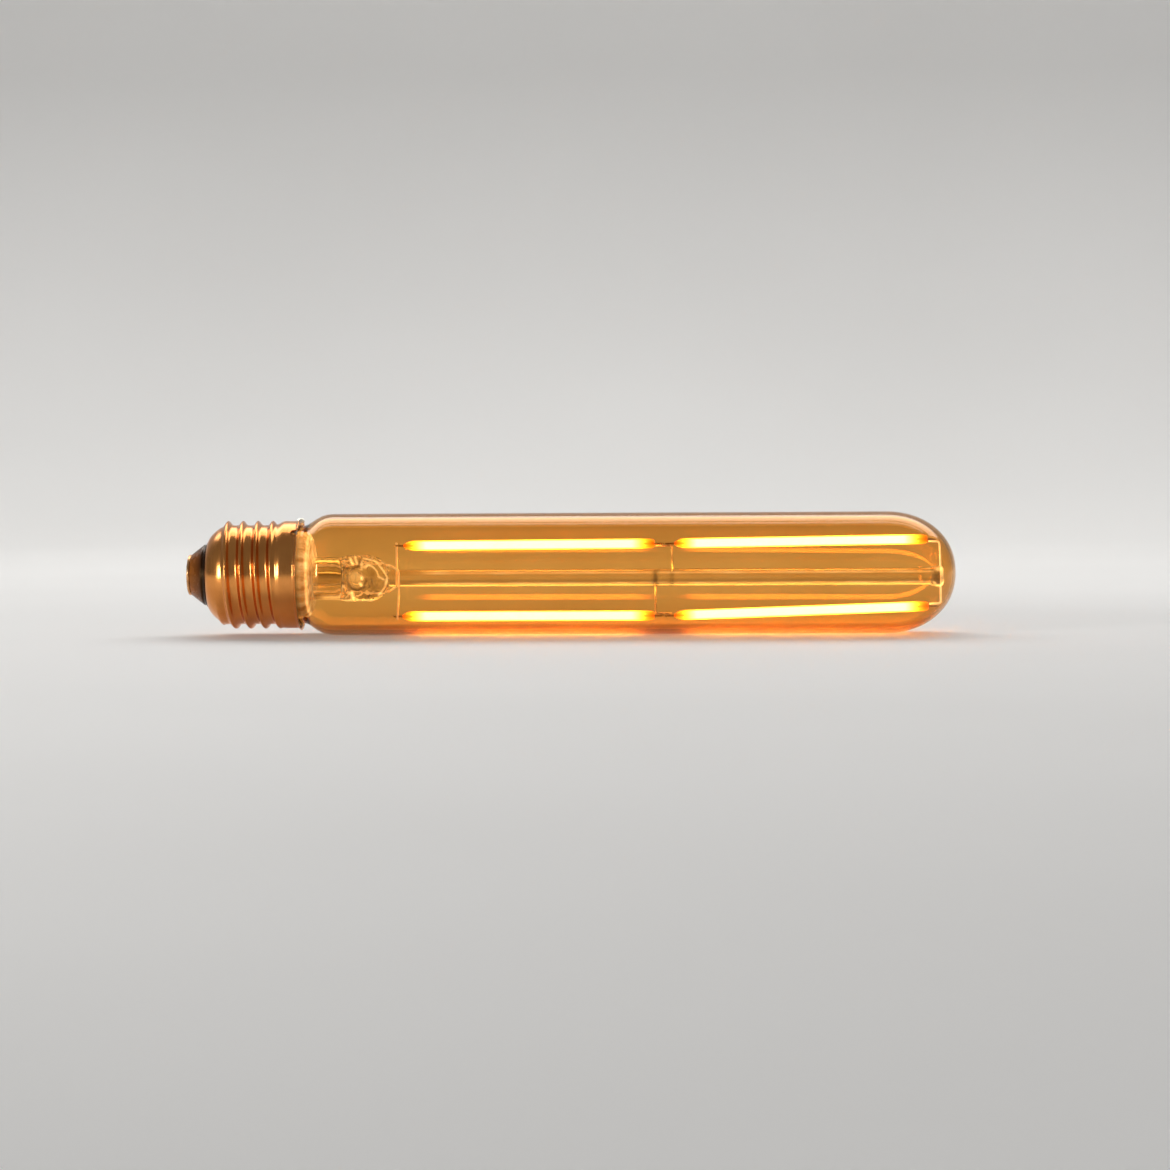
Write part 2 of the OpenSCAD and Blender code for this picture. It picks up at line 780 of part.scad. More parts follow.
module coating(upper, crown) {
    tip_r = coat_tip_d / 2;
    taper = [
        for (i = [0 : round_steps])
            let (a = 90 * i / round_steps)
            [coat_taper * (1 - cos(a)), tip_r + (coat_r - tip_r) * sin(a)]
    ];
    color([1, 0.75, 0.2])
        at_filament(upper, crown)
            difference() {
                revolve_x(concat(
                    [[0, 0]],
                    taper,
                    reversed([for (p = taper) [coat_length - p.x, p.y]]),
                    [[coat_length, 0]]
                ));
                strip_body(over);
            }
}

// Driver board, narrower where the shell's shoulder closes in
module driver_board() {
    nose_end = board_start + board_nose_length;
    w = board_w / 2;
    nose = board_nose_w / 2;
    color([0.15, 0.4, 0.2])
        translate([0, 0, board_bottom])
            linear_extrude(board_t)
                polygon([
                    [board_start, -nose], [nose_end, -nose], [nose_end, -w], [board_end, -w],
                    [board_end, w], [nose_end, w], [nose_end, nose], [board_start, nose],
                ]);
}

// Width, sheet and reach of a package's bent legs
leg_width_share = 0.4;
leg_sheet_share = 0.14;
leg_reach_share = 0.2;

// Flat body with rows of bent legs along two of its sides, standing on z = 0
module package(length, width, height, legs) {
    leg_w = length / legs * leg_width_share;
    leg_t = height * leg_sheet_share;
    foot = width * leg_reach_share;
    translate([-width / 2, -length / 2, leg_t])
        cube([width, length, height - leg_t]);
    for (side = [-1, 1], i = [0 : legs - 1])
        translate([side * width / 2, length * ((i + 0.5) / legs - 0.5), 0])
            for (part = [0, 1])
                box_between(
                    part == 0 ? [min(0, side * foot), -leg_w / 2, 0]
                              : [side > 0 ? 0 : -foot / 2, -leg_w / 2, 0],
                    part == 0 ? [max(0, side * foot), leg_w / 2, leg_t]
                              : [side > 0 ? foot / 2 : 0, leg_w / 2, height / 2]
                );
}

function row_y(share) = board_w / 2 * share;
function row_x(share) = board_start + (board_end - board_start) * share;

module rectifier() {
    color([0.1, 0.1, 0.1])
        translate([row_x(rectifier_place_share), row_y(-side_row_share), board_top])
            package(rectifier_length, rectifier_w, package_height, 2);
}

module driver_chip() {
    color([0.1, 0.1, 0.1])
        translate([row_x(chip_place_share), row_y(side_row_share), board_bottom])
            mirror([0, 0, 1])
                package(chip_length, chip_w, package_height, 4);
}

// Two current setting resistors, side by side under the board
module chip_resistors() {
    size = [package_height * 2, package_height, package_height / 3];
    place = [row_x(resistor_place_share), row_y(-resistor_row_share), board_bottom - size.z];
    color([0.2, 0.2, 0.22])
        for (side = [0, 1])
            translate(place + [0, side * 2 * size.y, 0])
                cube(size);
}

// Can with a rolled groove near its base and two leads bent down to the board
module capacitor() {
    r = capacitor_d / 2;
    groove = capacitor_d * can_groove_share;
    base = row_x(capacitor_place_share) - 2 * wire_d;
    can_x = base - capacitor_length;
    lead_gap = capacitor_d * can_lead_share;
    color([0.15, 0.2, 0.35])
        translate([0, row_y(side_row_share), board_top + r]) {
            revolve_x([
                [can_x, 0], [can_x, r - groove], [can_x + groove, r],
                [base - 5 * groove, r], [base - 4 * groove, r - groove], [base - 3 * groove, r - groove],
                [base - 2 * groove, r], [base, r], [base, 0],
            ]);
            for (side = [-1, 1])
                bent_bar([
                    [base - groove, side * lead_gap, 0],
                    [base + wire_d, side * lead_gap, 0],
                    [base + wire_d, side * lead_gap, -r],
                ], wire_r);
        }
}

module fuse_resistor() {
    cap = fuse_length / 5;
    waist = fuse_r - fuse_r / 6;
    color([0.25, 0.5, 0.35]) {
        translate(fuse_axis)
            revolve_x([
                [fuse_x, 0], [fuse_x, waist], [fuse_x + cap / 4, fuse_r], [fuse_x + cap, fuse_r],
                [fuse_x + 1.5 * cap, waist], [fuse_end - 1.5 * cap, waist],
                [fuse_end - cap, fuse_r], [fuse_end - cap / 4, fuse_r], [fuse_end, waist], [fuse_end, 0],
            ]);
        bent_bar([
            [fuse_end - cap / 2, fuse_axis.y, fuse_axis.z],
            [fuse_end + 2 * wire_d, fuse_axis.y, fuse_axis.z],
            [fuse_end + 2 * wire_d, fuse_axis.y, board_top],
        ], wire_r);
    }
}

module fuse_sleeve() {
    color([0.9, 0.9, 0.88])
        translate(fuse_axis)
            difference() {
                rod_x(fuse_r + fit_gap + sleeve_wall, fuse_x, fuse_end);
                rod_x(fuse_r + fit_gap, fuse_x - over, fuse_end + over);
            }
}

// Lead from the fuse resistor through the insulator to the contact's eye
module centre_lead() {
    color([0.75, 0.5, 0.3])
        wire([
            [contact_height / 2 + fit_gap, 0, 0],
            [insulator_end + wire_r, 0, 0],
            [fuse_x - 2 * wire_d, fuse_axis.y, fuse_axis.z],
            [fuse_x - fit_gap, fuse_axis.y, fuse_axis.z],
        ], wire_r);
}

// Lead from the board, outside the neck and through the cement, to the rim
function rim_lead_points() =
    let (lift = rim_lead_r + 2 * fit_gap)
    let (rise = polar(neck_r - lift, rim_lead_angle))
    let (start = polar(neck_r + lift, rim_lead_angle))
    let (leave = polar(inside_shell(rim_r) - lift, rim_lead_angle))
    [
        [board_end - 3 * wire_d, row_y(-far_row_share), board_top + rim_lead_r + fit_gap],
        [board_end - rim_lead_d, rise.x, rise.y],
        [seal_x - seal_lip - rim_lead_d, start.x, start.y],
        [cap_length - rim_length, start.x, start.y],
        [cap_length + rim_lead_d, leave.x, leave.y],
    ];

module rim_lead() {
    color([0.75, 0.5, 0.3])
        wire(rim_lead_points(), rim_lead_r);
}

glass_envelope();
stem_flare();
exhaust_tube();
support_rod();
screw_shell();
cap_insulator();
centre_contact();
contact_solder();
rim_solder();
capping_cement();
lead_in_wire_upper();
lead_in_wire_lower();
mid_support_upper();
mid_support_lower();
crown_wire();
strip(true, false);  // strip_upper_stem
strip(true, true);  // strip_upper_crown
strip(false, false);  // strip_lower_stem
strip(false, true);  // strip_lower_crown
coating(true, false);  // coating_upper_stem
coating(true, true);  // coating_upper_crown
coating(false, false);  // coating_lower_stem
coating(false, true);  // coating_lower_crown
driver_board();
rectifier();
driver_chip();
chip_resistors();
capacitor();
fuse_resistor();
fuse_sleeve();
centre_lead();
rim_lead();
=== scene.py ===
"""Looks of the tubular light bulb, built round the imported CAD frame.

Lengths are written in millimetres along the CAD axes and turned to metres by mm().
Angles round the bulb are counted from the top towards the front, as in the CAD.
"""

import json
import math

import bmesh
import bpy
from mathutils import Matrix, Vector, noise


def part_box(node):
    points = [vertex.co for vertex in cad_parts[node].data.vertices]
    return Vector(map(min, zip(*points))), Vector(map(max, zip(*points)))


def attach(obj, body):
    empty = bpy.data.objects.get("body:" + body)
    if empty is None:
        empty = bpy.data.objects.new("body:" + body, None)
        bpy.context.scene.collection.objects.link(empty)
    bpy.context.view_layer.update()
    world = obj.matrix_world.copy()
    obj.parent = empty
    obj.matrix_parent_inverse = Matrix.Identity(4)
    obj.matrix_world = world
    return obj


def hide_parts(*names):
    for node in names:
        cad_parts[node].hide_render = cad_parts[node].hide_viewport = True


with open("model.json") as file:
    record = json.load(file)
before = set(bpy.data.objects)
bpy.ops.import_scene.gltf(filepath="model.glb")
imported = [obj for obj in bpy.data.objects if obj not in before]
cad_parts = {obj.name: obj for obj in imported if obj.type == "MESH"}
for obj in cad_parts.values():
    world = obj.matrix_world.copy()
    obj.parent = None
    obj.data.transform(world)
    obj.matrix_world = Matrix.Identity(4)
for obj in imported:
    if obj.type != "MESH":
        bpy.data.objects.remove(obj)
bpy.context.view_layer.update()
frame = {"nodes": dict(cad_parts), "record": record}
scene = bpy.context.scene

MM = 0.001
BODY = "root"


def mm(*values):
    return Vector(values) * MM


def low(node):
    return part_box(node)[0] / MM


def high(node):
    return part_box(node)[1] / MM


# Sizes in mm, as the CAD part states them, apart from filament_side (1.67 there) and the port's place and rim
bulb_length = high("glass_envelope").x
tube_r = high("glass_envelope").z
glass_wall = 1.1
tip_wall = 0.9
dome_length = 17.0
dome_curve = 2.15
neck_r = 11.85
neck_flare = 8.0
seal_x = low("glass_envelope").x
lip_x = low("stem_flare").x
cap_length = high("screw_shell").x
neck_x = cap_length + 0.8
mouth_x = low("screw_shell").x
thread_r = 13.05
root_r = 11.95
thread_depth = thread_r - root_r
pitch = 3.629
first_crest = 9.7
thread_end = cap_length - 6.5
run_out = pitch * 0.8
crest_power = 2.6
shell_wall = 0.3
skirt_r = 12.95
rim_r = 13.45
rim_length = 0.7
mouth_r = 8.2
shoulder_length = 4.3
contact_r = 4.9
contact_height = 0.7
stem_z = -1.0
flare_x = cap_length + 2.9
stem_r = 5.2
press_x = flare_x + 7.4
press_length = 11.2
press_half_w = 5.6
press_half_t = 3.0
press_end = press_x + press_length
port_x = press_x + press_length * 0.3
port_r = 1.9
rod_r = 2.05
wire_r = 0.25
lead_side = 2.6
filament_side = 1.75
crown_x = bulb_length - dome_length * 0.22
button_start = crown_x - 1.82
button_end = crown_x + 0.78
coat_r = 1.2
first_x = press_end + 3.1
last_x = crown_x - 3.0
middle_gap = 4.7
coat_length = (last_x - first_x - middle_gap) / 2
left_end = first_x + coat_length
right_start = left_end + middle_gap
rows = {
    "upper": (0.465 * tube_r, 0.485 * tube_r, 0.54 * tube_r, filament_side),
    "lower": (-0.69 * tube_r, -0.69 * tube_r, -0.55 * tube_r, -filament_side),
}


def camera():
    """Camera at the photograph's viewing angle, aimed by the place of the bulb in its frame."""
    distance, width = 850.0, 282.0
    azimuth, elevation, roll = 2.85, 3.0, -0.37
    target = Vector((bulb_length / 2 + 3.5, 0, -2.8))
    a, e = math.radians(azimuth), math.radians(elevation)
    back = Vector((math.sin(a) * math.cos(e), -math.cos(a) * math.cos(e), math.sin(e)))
    data = bpy.data.cameras.new("camera")
    data.sensor_width = 36
    data.lens = data.sensor_width * distance / width
    data.clip_start, data.clip_end = 0.01, 20
    cam = bpy.data.objects.new("camera", data)
    turn = (-back).to_track_quat("-Z", "Y").to_matrix().to_4x4()
    cam.matrix_world = Matrix.Translation((target + back * distance) * MM) @ turn @ Matrix.Rotation(
        math.radians(roll), 4, "Z"
    )
    scene.collection.objects.link(cam)
    scene.camera = cam


camera()


# Node materials

def new_material(name):
    m = bpy.data.materials.new(name)
    m.use_nodes = True
    tree = m.node_tree
    return m, tree.nodes, tree.links, tree.nodes["Principled BSDF"]


def noise_node(nodes, links, scale, detail=3.0, stretch=(1, 1, 1), rough=0.5):
    """Noise in the object's own coordinates, with scale in features per mm."""
    place = nodes.new("ShaderNodeTexCoord")
    mapping = nodes.new("ShaderNodeMapping")
    mapping.inputs["Scale"].default_value = [s / MM for s in stretch]
    links.new(place.outputs["Object"], mapping.inputs["Vector"])
    tex = nodes.new("ShaderNodeTexNoise")
    tex.inputs["Scale"].default_value = scale
    tex.inputs["Detail"].default_value = detail
    tex.inputs["Roughness"].default_value = rough
    links.new(mapping.outputs["Vector"], tex.inputs["Vector"])
    return tex


def ramp_node(nodes, links, source, stops):
    ramp = nodes.new("ShaderNodeValToRGB")
    while len(ramp.color_ramp.elements) < len(stops):
        ramp.color_ramp.elements.new(0.5)
    for element, (place, colour) in zip(ramp.color_ramp.elements, stops):
        element.position = place
        element.color = (*colour, 1)
    links.new(source, ramp.inputs["Fac"])
    return ramp


def spread(nodes, links, source, low_value, high_value):
    m = nodes.new("ShaderNodeMapRange")
    m.inputs["From Min"].default_value = 0.3
    m.inputs["From Max"].default_value = 0.7
    m.inputs["To Min"].default_value = low_value
    m.inputs["To Max"].default_value = high_value
    links.new(source, m.inputs["Value"])
    return m


def bump_node(nodes, links, source, depth_mm, shader):
    bump = nodes.new("ShaderNodeBump")
    bump.inputs["Strength"].default_value = 1.0
    bump.inputs["Distance"].default_value = depth_mm * MM
    links.new(source, bump.inputs["Height"])
    links.new(bump.outputs["Normal"], shader.inputs["Normal"])


# The glint of a metal is a little light of its own, in place of the filaments' light on thin wires
def surface(
    name, dark, light, scale=0.4, stretch=(1, 1, 1), metallic=0.0, rough=(0.3, 0.4),
    bump=0.0, bump_scale=None, transmission=0.0, ior=1.45, coat=0.0, detail=4.0, glint=0.0,
):
    """Material whose colour, roughness and relief come from noise."""
    m, nodes, links, shader = new_material(name)
    tex = noise_node(nodes, links, scale, detail, stretch)
    ramp = ramp_node(nodes, links, tex.outputs["Fac"], [(0.35, dark), (0.65, light)])
    links.new(ramp.outputs["Color"], shader.inputs["Base Color"])
    second = noise_node(nodes, links, scale * 2.3, detail, stretch)
    wear = spread(nodes, links, second.outputs["Fac"], *rough)
    links.new(wear.outputs["Result"], shader.inputs["Roughness"])
    shader.inputs["Metallic"].default_value = metallic
    shader.inputs["Transmission Weight"].default_value = transmission
    shader.inputs["IOR"].default_value = ior
    shader.inputs["Coat Weight"].default_value = coat
    if glint:
        links.new(ramp.outputs["Color"], shader.inputs["Emission Color"])
        shader.inputs["Emission Strength"].default_value = glint
    if bump:
        relief = noise_node(nodes, links, bump_scale or scale * 3, detail, stretch)
        bump_node(nodes, links, relief.outputs["Fac"], bump, shader)
    return m


def mixed(nodes, links, factor, first, second):
    """Mix of two colours, each a socket or a plain colour."""
    blend = nodes.new("ShaderNodeMix")
    blend.data_type = "RGBA"
    links.new(factor, blend.inputs["Factor"])
    for place, colour in ((6, first), (7, second)):
        if isinstance(colour, tuple):
            blend.inputs[place].default_value = (*colour, 1)
        else:
            links.new(colour, blend.inputs[place])
    return blend.outputs[2]


def maths(nodes, links, operation, *values):
    node = nodes.new("ShaderNodeMath")
    node.operation = operation
    for i, value in enumerate(values):
        if isinstance(value, (int, float)):
            node.inputs[i].default_value = value
        else:
            links.new(value, node.inputs[i])
    return node.outputs["Value"]


def amber_glass():
    """Glass tinted half by its film and half by its body, so it is deeper in colour along its rim."""
    m = surface(
        "amber_glass", (0.92, 0.73, 0.45), (0.94, 0.76, 0.49), scale=0.05, rough=(0.0, 0.015),
        bump=0.02, bump_scale=0.03, transmission=1.0, ior=1.47, detail=1.0,
    )
    nodes, links = m.node_tree.nodes, m.node_tree.links
    nodes["Principled BSDF"].inputs["Specular Tint"].default_value = (1.0, 0.60, 0.28, 1)
    body = nodes.new("ShaderNodeVolumeAbsorption")
    body.inputs["Color"].default_value = (0.904, 0.601, 0.0, 1)
    body.inputs["Density"].default_value = 650
    links.new(body.outputs["Volume"], nodes["Material Output"].inputs["Volume"])
    return m


def stem_glass():
    """Clear glass. Vertex values tell where it is milky and streaked (flare), lit or in shade. The milky flare
    also glows as painted light, brighter towards the top; lit places glow as painted highlights and shaded
    places are painted dark as painted shade.
    """
    m = surface(
        "stem_glass", (0.97, 0.90, 0.74), (0.99, 0.94, 0.82), scale=0.2, rough=(0.0, 0.03),
        bump=0.05, bump_scale=0.5, transmission=1.0, ior=1.5, detail=2.0,
    )
    nodes, links = m.node_tree.nodes, m.node_tree.links
    shader = nodes["Principled BSDF"]
    marks = {}
    for name in ("flare", "lit", "shade"):
        mark = nodes.new("ShaderNodeAttribute")
        mark.attribute_name = name
        marks[name] = mark.outputs["Fac"]
    streaks = noise_node(nodes, links, 0.35, 5.0, stretch=(0.4, 1.3, 1.3), rough=0.6)
    milk = ramp_node(
        nodes, links, streaks.outputs["Fac"],
        [(0.36, (0.48, 0.28, 0.13)), (0.5, (0.80, 0.58, 0.36)), (0.64, (1.0, 0.92, 0.78))],
    )
    clear = shader.inputs["Base Color"].links[0].from_socket
    colour = mixed(nodes, links, marks["flare"], clear, milk.outputs["Color"])
    colour = mixed(nodes, links, marks["shade"], colour, (0.05, 0.016, 0.004))
    links.new(colour, shader.inputs["Base Color"])
    solid = maths(nodes, links, "MULTIPLY", marks["flare"], 0.75)
    links.new(maths(nodes, links, "SUBTRACT", 1.0, solid), shader.inputs["Transmission Weight"])
    place = nodes.new("ShaderNodeTexCoord")
    split = nodes.new("ShaderNodeSeparateXYZ")
    links.new(place.outputs["Object"], split.inputs["Vector"])
    # Painted light: the milky flare's glow is strong at the top and weak at the bottom
    height = nodes.new("ShaderNodeMapRange")
    height.inputs["From Min"].default_value = -10 * MM
    height.inputs["From Max"].default_value = 10 * MM
    height.inputs["To Min"].default_value = 0.12
    height.inputs["To Max"].default_value = 0.85
    links.new(split.outputs["Z"], height.inputs["Value"])
    glow_level = maths(nodes, links, "MULTIPLY", marks["flare"], height.outputs["Result"])
    lit_level = maths(nodes, links, "MULTIPLY", marks["lit"], 2.0)
    links.new(maths(nodes, links, "ADD", glow_level, lit_level), shader.inputs["Emission Strength"])
    lit_colour = mixed(nodes, links, marks["lit"], milk.outputs["Color"], (1.0, 0.80, 0.55))
    links.new(lit_colour, shader.inputs["Emission Color"])
    return m


def cap_metal():
    """Rolled sheet with fine lines round the cap and slight tarnish."""
    m, nodes, links, shader = new_material("cap_metal")
    tarnish = noise_node(nodes, links, 0.12, 5.0)
    ramp = ramp_node(
        nodes, links, tarnish.outputs["Fac"], [(0.3, (0.68, 0.25, 0.06)), (0.6, (0.86, 0.35, 0.09))]
    )
    links.new(ramp.outputs["Color"], shader.inputs["Base Color"])
    lines = noise_node(nodes, links, 1.0, 4.0, stretch=(9, 0.25, 0.25))
    rough = spread(nodes, links, lines.outputs["Fac"], 0.16, 0.26)
    links.new(rough.outputs["Result"], shader.inputs["Roughness"])
    bump_node(nodes, links, lines.outputs["Fac"], 0.006, shader)
    shader.inputs["Metallic"].default_value = 1.0
    return m


def insulator_glass():
    """Cast glass, amber-brown by the contact; towards the shell it is painted darker, nearly black, as painted
    shade where it meets the shell.
    """
    m, nodes, links, shader = new_material("insulator")
    place = nodes.new("ShaderNodeTexCoord")
    split = nodes.new("ShaderNodeSeparateXYZ")
    links.new(place.outputs["Object"], split.inputs["Vector"])
    along = nodes.new("ShaderNodeMapRange")
    along.inputs["From Min"].default_value = 1.0 * MM
    along.inputs["From Max"].default_value = 4.6 * MM
    links.new(split.outputs["X"], along.inputs["Value"])
    shade = ramp_node(
        nodes, links, along.outputs["Result"],
        [(0.0, (0.25, 0.075, 0.010)), (0.6, (0.12, 0.034, 0.006)), (0.85, (0.014, 0.005, 0.002))],
    )
    cloud = noise_node(nodes, links, 0.5, 3.0)
    tone = spread(nodes, links, cloud.outputs["Fac"], 0.8, 1.2)
    mix = nodes.new("ShaderNodeVectorMath")
    mix.operation = "SCALE"
    links.new(shade.outputs["Color"], mix.inputs[0])
    links.new(tone.outputs["Result"], mix.inputs["Scale"])
    links.new(mix.outputs["Vector"], shader.inputs["Base Color"])
    wear = spread(nodes, links, cloud.outputs["Fac"], 0.18, 0.32)
    links.new(wear.outputs["Result"], shader.inputs["Roughness"])
    bump_node(nodes, links, cloud.outputs["Fac"], 0.03, shader)
    shader.inputs["Specular IOR Level"].default_value = 0.35
    shader.inputs["Specular Tint"].default_value = (1.0, 0.55, 0.22, 1)
    return m


def glow(name, stops, strengths, reach, base, transmission, rough, gain=1.0):
    """Lit material: colour and strength follow the distance from the filament's end, in mm."""
    m, nodes, links, shader = new_material(name)
    along = nodes.new("ShaderNodeAttribute")
    along.attribute_name = "end_mm"
    place = nodes.new("ShaderNodeMath")
    place.operation = "DIVIDE"
    place.inputs[1].default_value = reach
    place.use_clamp = True
    links.new(along.outputs["Fac"], place.inputs[0])
    colour = ramp_node(nodes, links, place.outputs["Value"], stops)
    level = ramp_node(
        nodes, links, place.outputs["Value"], [(p, (v, v, v)) for p, v in strengths]
    )
    grain = noise_node(nodes, links, 1.4, 2.0)
    flicker = spread(nodes, links, grain.outputs["Fac"], 0.94 * gain, 1.06 * gain)
    scale = nodes.new("ShaderNodeMath")
    scale.operation = "MULTIPLY"
    links.new(level.outputs["Color"], scale.inputs[0])
    links.new(flicker.outputs["Result"], scale.inputs[1])
    links.new(colour.outputs["Color"], shader.inputs["Emission Color"])
    links.new(scale.outputs["Value"], shader.inputs["Emission Strength"])
    tint = ramp_node(
        nodes, links, grain.outputs["Fac"], [(0.3, tuple(0.92 * c for c in base)), (0.7, base)]
    )
    links.new(tint.outputs["Color"], shader.inputs["Base Color"])
    shader.inputs["Roughness"].default_value = rough
    shader.inputs["Transmission Weight"].default_value = transmission
    shader.inputs["IOR"].default_value = 1.41
    return m


MATERIALS = {
    "amber_glass": amber_glass(),
    "stem_glass": stem_glass(),
    "cap_metal": cap_metal(),
    "contact_metal": surface(
        "contact_metal", (0.60, 0.30, 0.12), (0.80, 0.45, 0.20), scale=0.5, metallic=1.0, rough=(0.2, 0.35),
        bump=0.01, bump_scale=2.0,
    ),
    "solder": surface(
        "solder", (0.72, 0.64, 0.50), (0.98, 0.92, 0.80), scale=0.9, metallic=1.0, rough=(0.25, 0.45),
        bump=0.04, bump_scale=1.2, glint=0.12,
    ),
    "insulator": insulator_glass(),
    "cement": surface(
        "cement", (0.55, 0.44, 0.28), (0.80, 0.69, 0.50), scale=0.7, rough=(0.75, 0.95),
        bump=0.12, bump_scale=1.6,
    ),
    "lead_metal": surface(
        "lead_metal", (0.85, 0.58, 0.34), (1.0, 0.82, 0.60), scale=0.8, metallic=1.0, rough=(0.3, 0.42),
        bump=0.01, bump_scale=4.0, glint=0.6,
    ),
    "support_metal": surface(
        "support_metal", (0.66, 0.52, 0.36), (0.92, 0.82, 0.66), scale=0.8, metallic=1.0, rough=(0.3, 0.42),
        bump=0.01, bump_scale=4.0, glint=0.15,
    ),
    # Lit copy of the support wires' metal for the crown wire: paler colour and a strong glint, as painted
    # highlights
    "lit_crown_metal": surface(
        "lit_crown_metal", (0.85, 0.74, 0.58), (1.0, 0.94, 0.84), scale=0.8, metallic=1.0, rough=(0.3, 0.42),
        bump=0.01, bump_scale=4.0, glint=1.3,
    ),
    "strip_metal": surface(
        "strip_metal", (0.42, 0.28, 0.15), (0.68, 0.50, 0.30), scale=0.7, metallic=1.0, rough=(0.22, 0.4),
        bump=0.015, bump_scale=3.0,
    ),
    "filament_coating": glow(
        "filament_coating",
        [
            (0.0, (0.8, 0.12, 0.01)), (0.3, (1.0, 0.30, 0.01)),
            (0.7, (1.0, 0.55, 0.05)), (1.0, (1.0, 0.70, 0.12)),
        ],
        [(0.0, 0.5), (0.4, 1.6), (1.0, 2.4)],
        4.0, (1.0, 0.55, 0.12), 0.75, 0.3,
    ),
    "filament_core": glow(
        "filament_core",
        [(0.0, (1.0, 0.30, 0.02)), (0.45, (1.0, 0.62, 0.16)), (1.0, (1.0, 0.90, 0.85))],
        [(0.0, 0.06), (0.45, 0.35), (1.0, 1.0)],
        4.5, (1.0, 0.8, 0.5), 0.0, 0.5, 16.0,
    ),
    "board": surface(
        "board", (0.008, 0.07, 0.025), (0.014, 0.11, 0.04), scale=0.3, rough=(0.3, 0.5), bump=0.01, coat=0.2,
    ),
    "package_black": surface(
        "package_black", (0.006, 0.006, 0.007), (0.014, 0.014, 0.016), scale=1.5, rough=(0.5, 0.7), bump=0.02,
    ),
    "capacitor_sleeve": surface(
        "capacitor_sleeve", (0.008, 0.012, 0.045), (0.014, 0.02, 0.07), scale=0.4, rough=(0.2, 0.35), bump=0.01,
    ),
    "resistor_lacquer": surface(
        "resistor_lacquer", (0.05, 0.18, 0.12), (0.09, 0.26, 0.18), scale=0.6, rough=(0.2, 0.35), bump=0.02,
    ),
    "glass_sleeving": surface(
        "glass_sleeving", (0.62, 0.60, 0.54), (0.80, 0.78, 0.72), scale=2.0, rough=(0.8, 0.95), bump=0.05,
    ),
}

slots = {entry["node"]: entry["material_slot"] for entry in frame["record"]["subparts"]}
for name, obj in frame["nodes"].items():
    obj.data.materials.clear()
    obj.data.materials.append(MATERIALS[slots[name]])


# Meshes

def piece(name, points, faces, slot, replaced=(), material=None):
    """Makes a piece from points in mm, riding on the one body."""
    mesh = bpy.data.meshes.new(name)
    mesh.from_pydata([Vector(p) * MM for p in points], [], faces)
    mesh.validate()
    mesh.polygons.foreach_set("use_smooth", [True] * len(mesh.polygons))
    mesh.materials.append(MATERIALS[material or slot])
    obj = bpy.data.objects.new(name, mesh)
    scene.collection.objects.link(obj)
    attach(obj, BODY)
    if replaced:
        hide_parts(*replaced)
    return obj


def grid_faces(rings, n, start=0):
    """Quads between successive rings of n points."""
    faces = []
    for i in range(rings - 1):
        for j in range(n):
            a, b = start + i * n + j, start + i * n + (j + 1) % n
            faces.append((a, b, b + n, a + n))
    return faces


def ring(x, r, n, bend=None):
    """Points round the axis, from the top towards the front."""
    out = []
    for j in range(n):
        a = 2 * math.pi * j / n
        out.append(bend(x, r, a) if bend else (x, -r * math.sin(a), r * math.cos(a)))
    return out


def turned(name, outline, slot, n=96, replaced=(), bend=None):
    """Revolves an outline of (x, radius) from the left pole or rim, outside first, to a closed skin."""
    points, faces = [], []
    closed = outline[0][1] > 0
    rings = []
    for x, r in outline:
        if r <= 1e-6:
            p = bend(x, 0.0, 0.0) if bend else (x, 0.0, 0.0)
            rings.append(("pole", len(points)))
            points.append(p)
        else:
            rings.append(("ring", len(points)))
            points.extend(ring(x, r, n, bend))
    pairs = list(zip(rings, rings[1:])) + ([(rings[-1], rings[0])] if closed else [])
    for (kind_a, a), (kind_b, b) in pairs:
        for j in range(n):
            k = (j + 1) % n
            if kind_a == "pole" and kind_b == "ring":
                faces.append((a, b + j, b + k))
            elif kind_a == "ring" and kind_b == "pole":
                faces.append((a + j, b, a + k))
            elif kind_a == "ring":
                faces.append((a + j, b + j, b + k, a + k))
    obj = piece(name, points, faces, slot, replaced)
    outward(obj)
    return obj


def outward(obj):
    """Turns all faces outwards."""
    bm = bmesh.new()
    bm.from_mesh(obj.data)
    bmesh.ops.recalc_face_normals(bm, faces=bm.faces)
    bm.to_mesh(obj.data)
    bm.free()


def smoothstep(t):
    t = min(1.0, max(0.0, t))
    return t * t * (3 - 2 * t)


def glass_r(x):
    u = min(1.0, max(0.0, (x - neck_x) / neck_flare))
    return neck_r + (tube_r - neck_r) * (1 - (1 - u) ** 3) ** 2


def dome(length, height, steps):
    out = []
    for i in range(steps + 1):
        a = math.pi / 2 * i / steps
        e = 2 / dome_curve
        out.append((length * math.sin(a) ** e, height * max(0.0, math.cos(a)) ** e if i < steps else 0.0))
    return out


def glass_outline(wall, tip):
    neck = [(seal_x, neck_r - wall)]
    places = [neck_x + neck_flare * i / 24 for i in range(25)]
    neck += [(x, glass_r(x) - wall) for x in places]
    start, end = neck_x + neck_flare, bulb_length - dome_length
    tube = [(start + (end - start) * i / 24, tube_r - wall) for i in range(1, 24)]
    cap = [(end + x, r) for x, r in dome(dome_length - tip, tube_r - wall, 40)]
    return neck + tube + cap


def glass_tube():
    outer = glass_outline(0, 0)
    inner = glass_outline(glass_wall, tip_wall)
    turned("glass_tube", outer + inner[::-1], "amber_glass", 128, ["glass_envelope"])


def flare_outline(wall):
    corner = 2.0
    x1 = flare_x - corner
    gap = glass_wall + 0.3 + wall
    c = corner - wall
    r1 = glass_r(x1) - gap
    places = [seal_x + (x1 - seal_x) * i / 16 for i in range(17)]
    out = [(x, glass_r(x) - gap) for x in places]
    turns = [math.radians(a) for a in range(6, 91, 6)]
    out += [(x1 + c * math.sin(a), r1 - c + c * math.cos(a)) for a in turns]
    return out


port = Vector((port_x, -press_half_t, stem_z + press_length * 0.03))


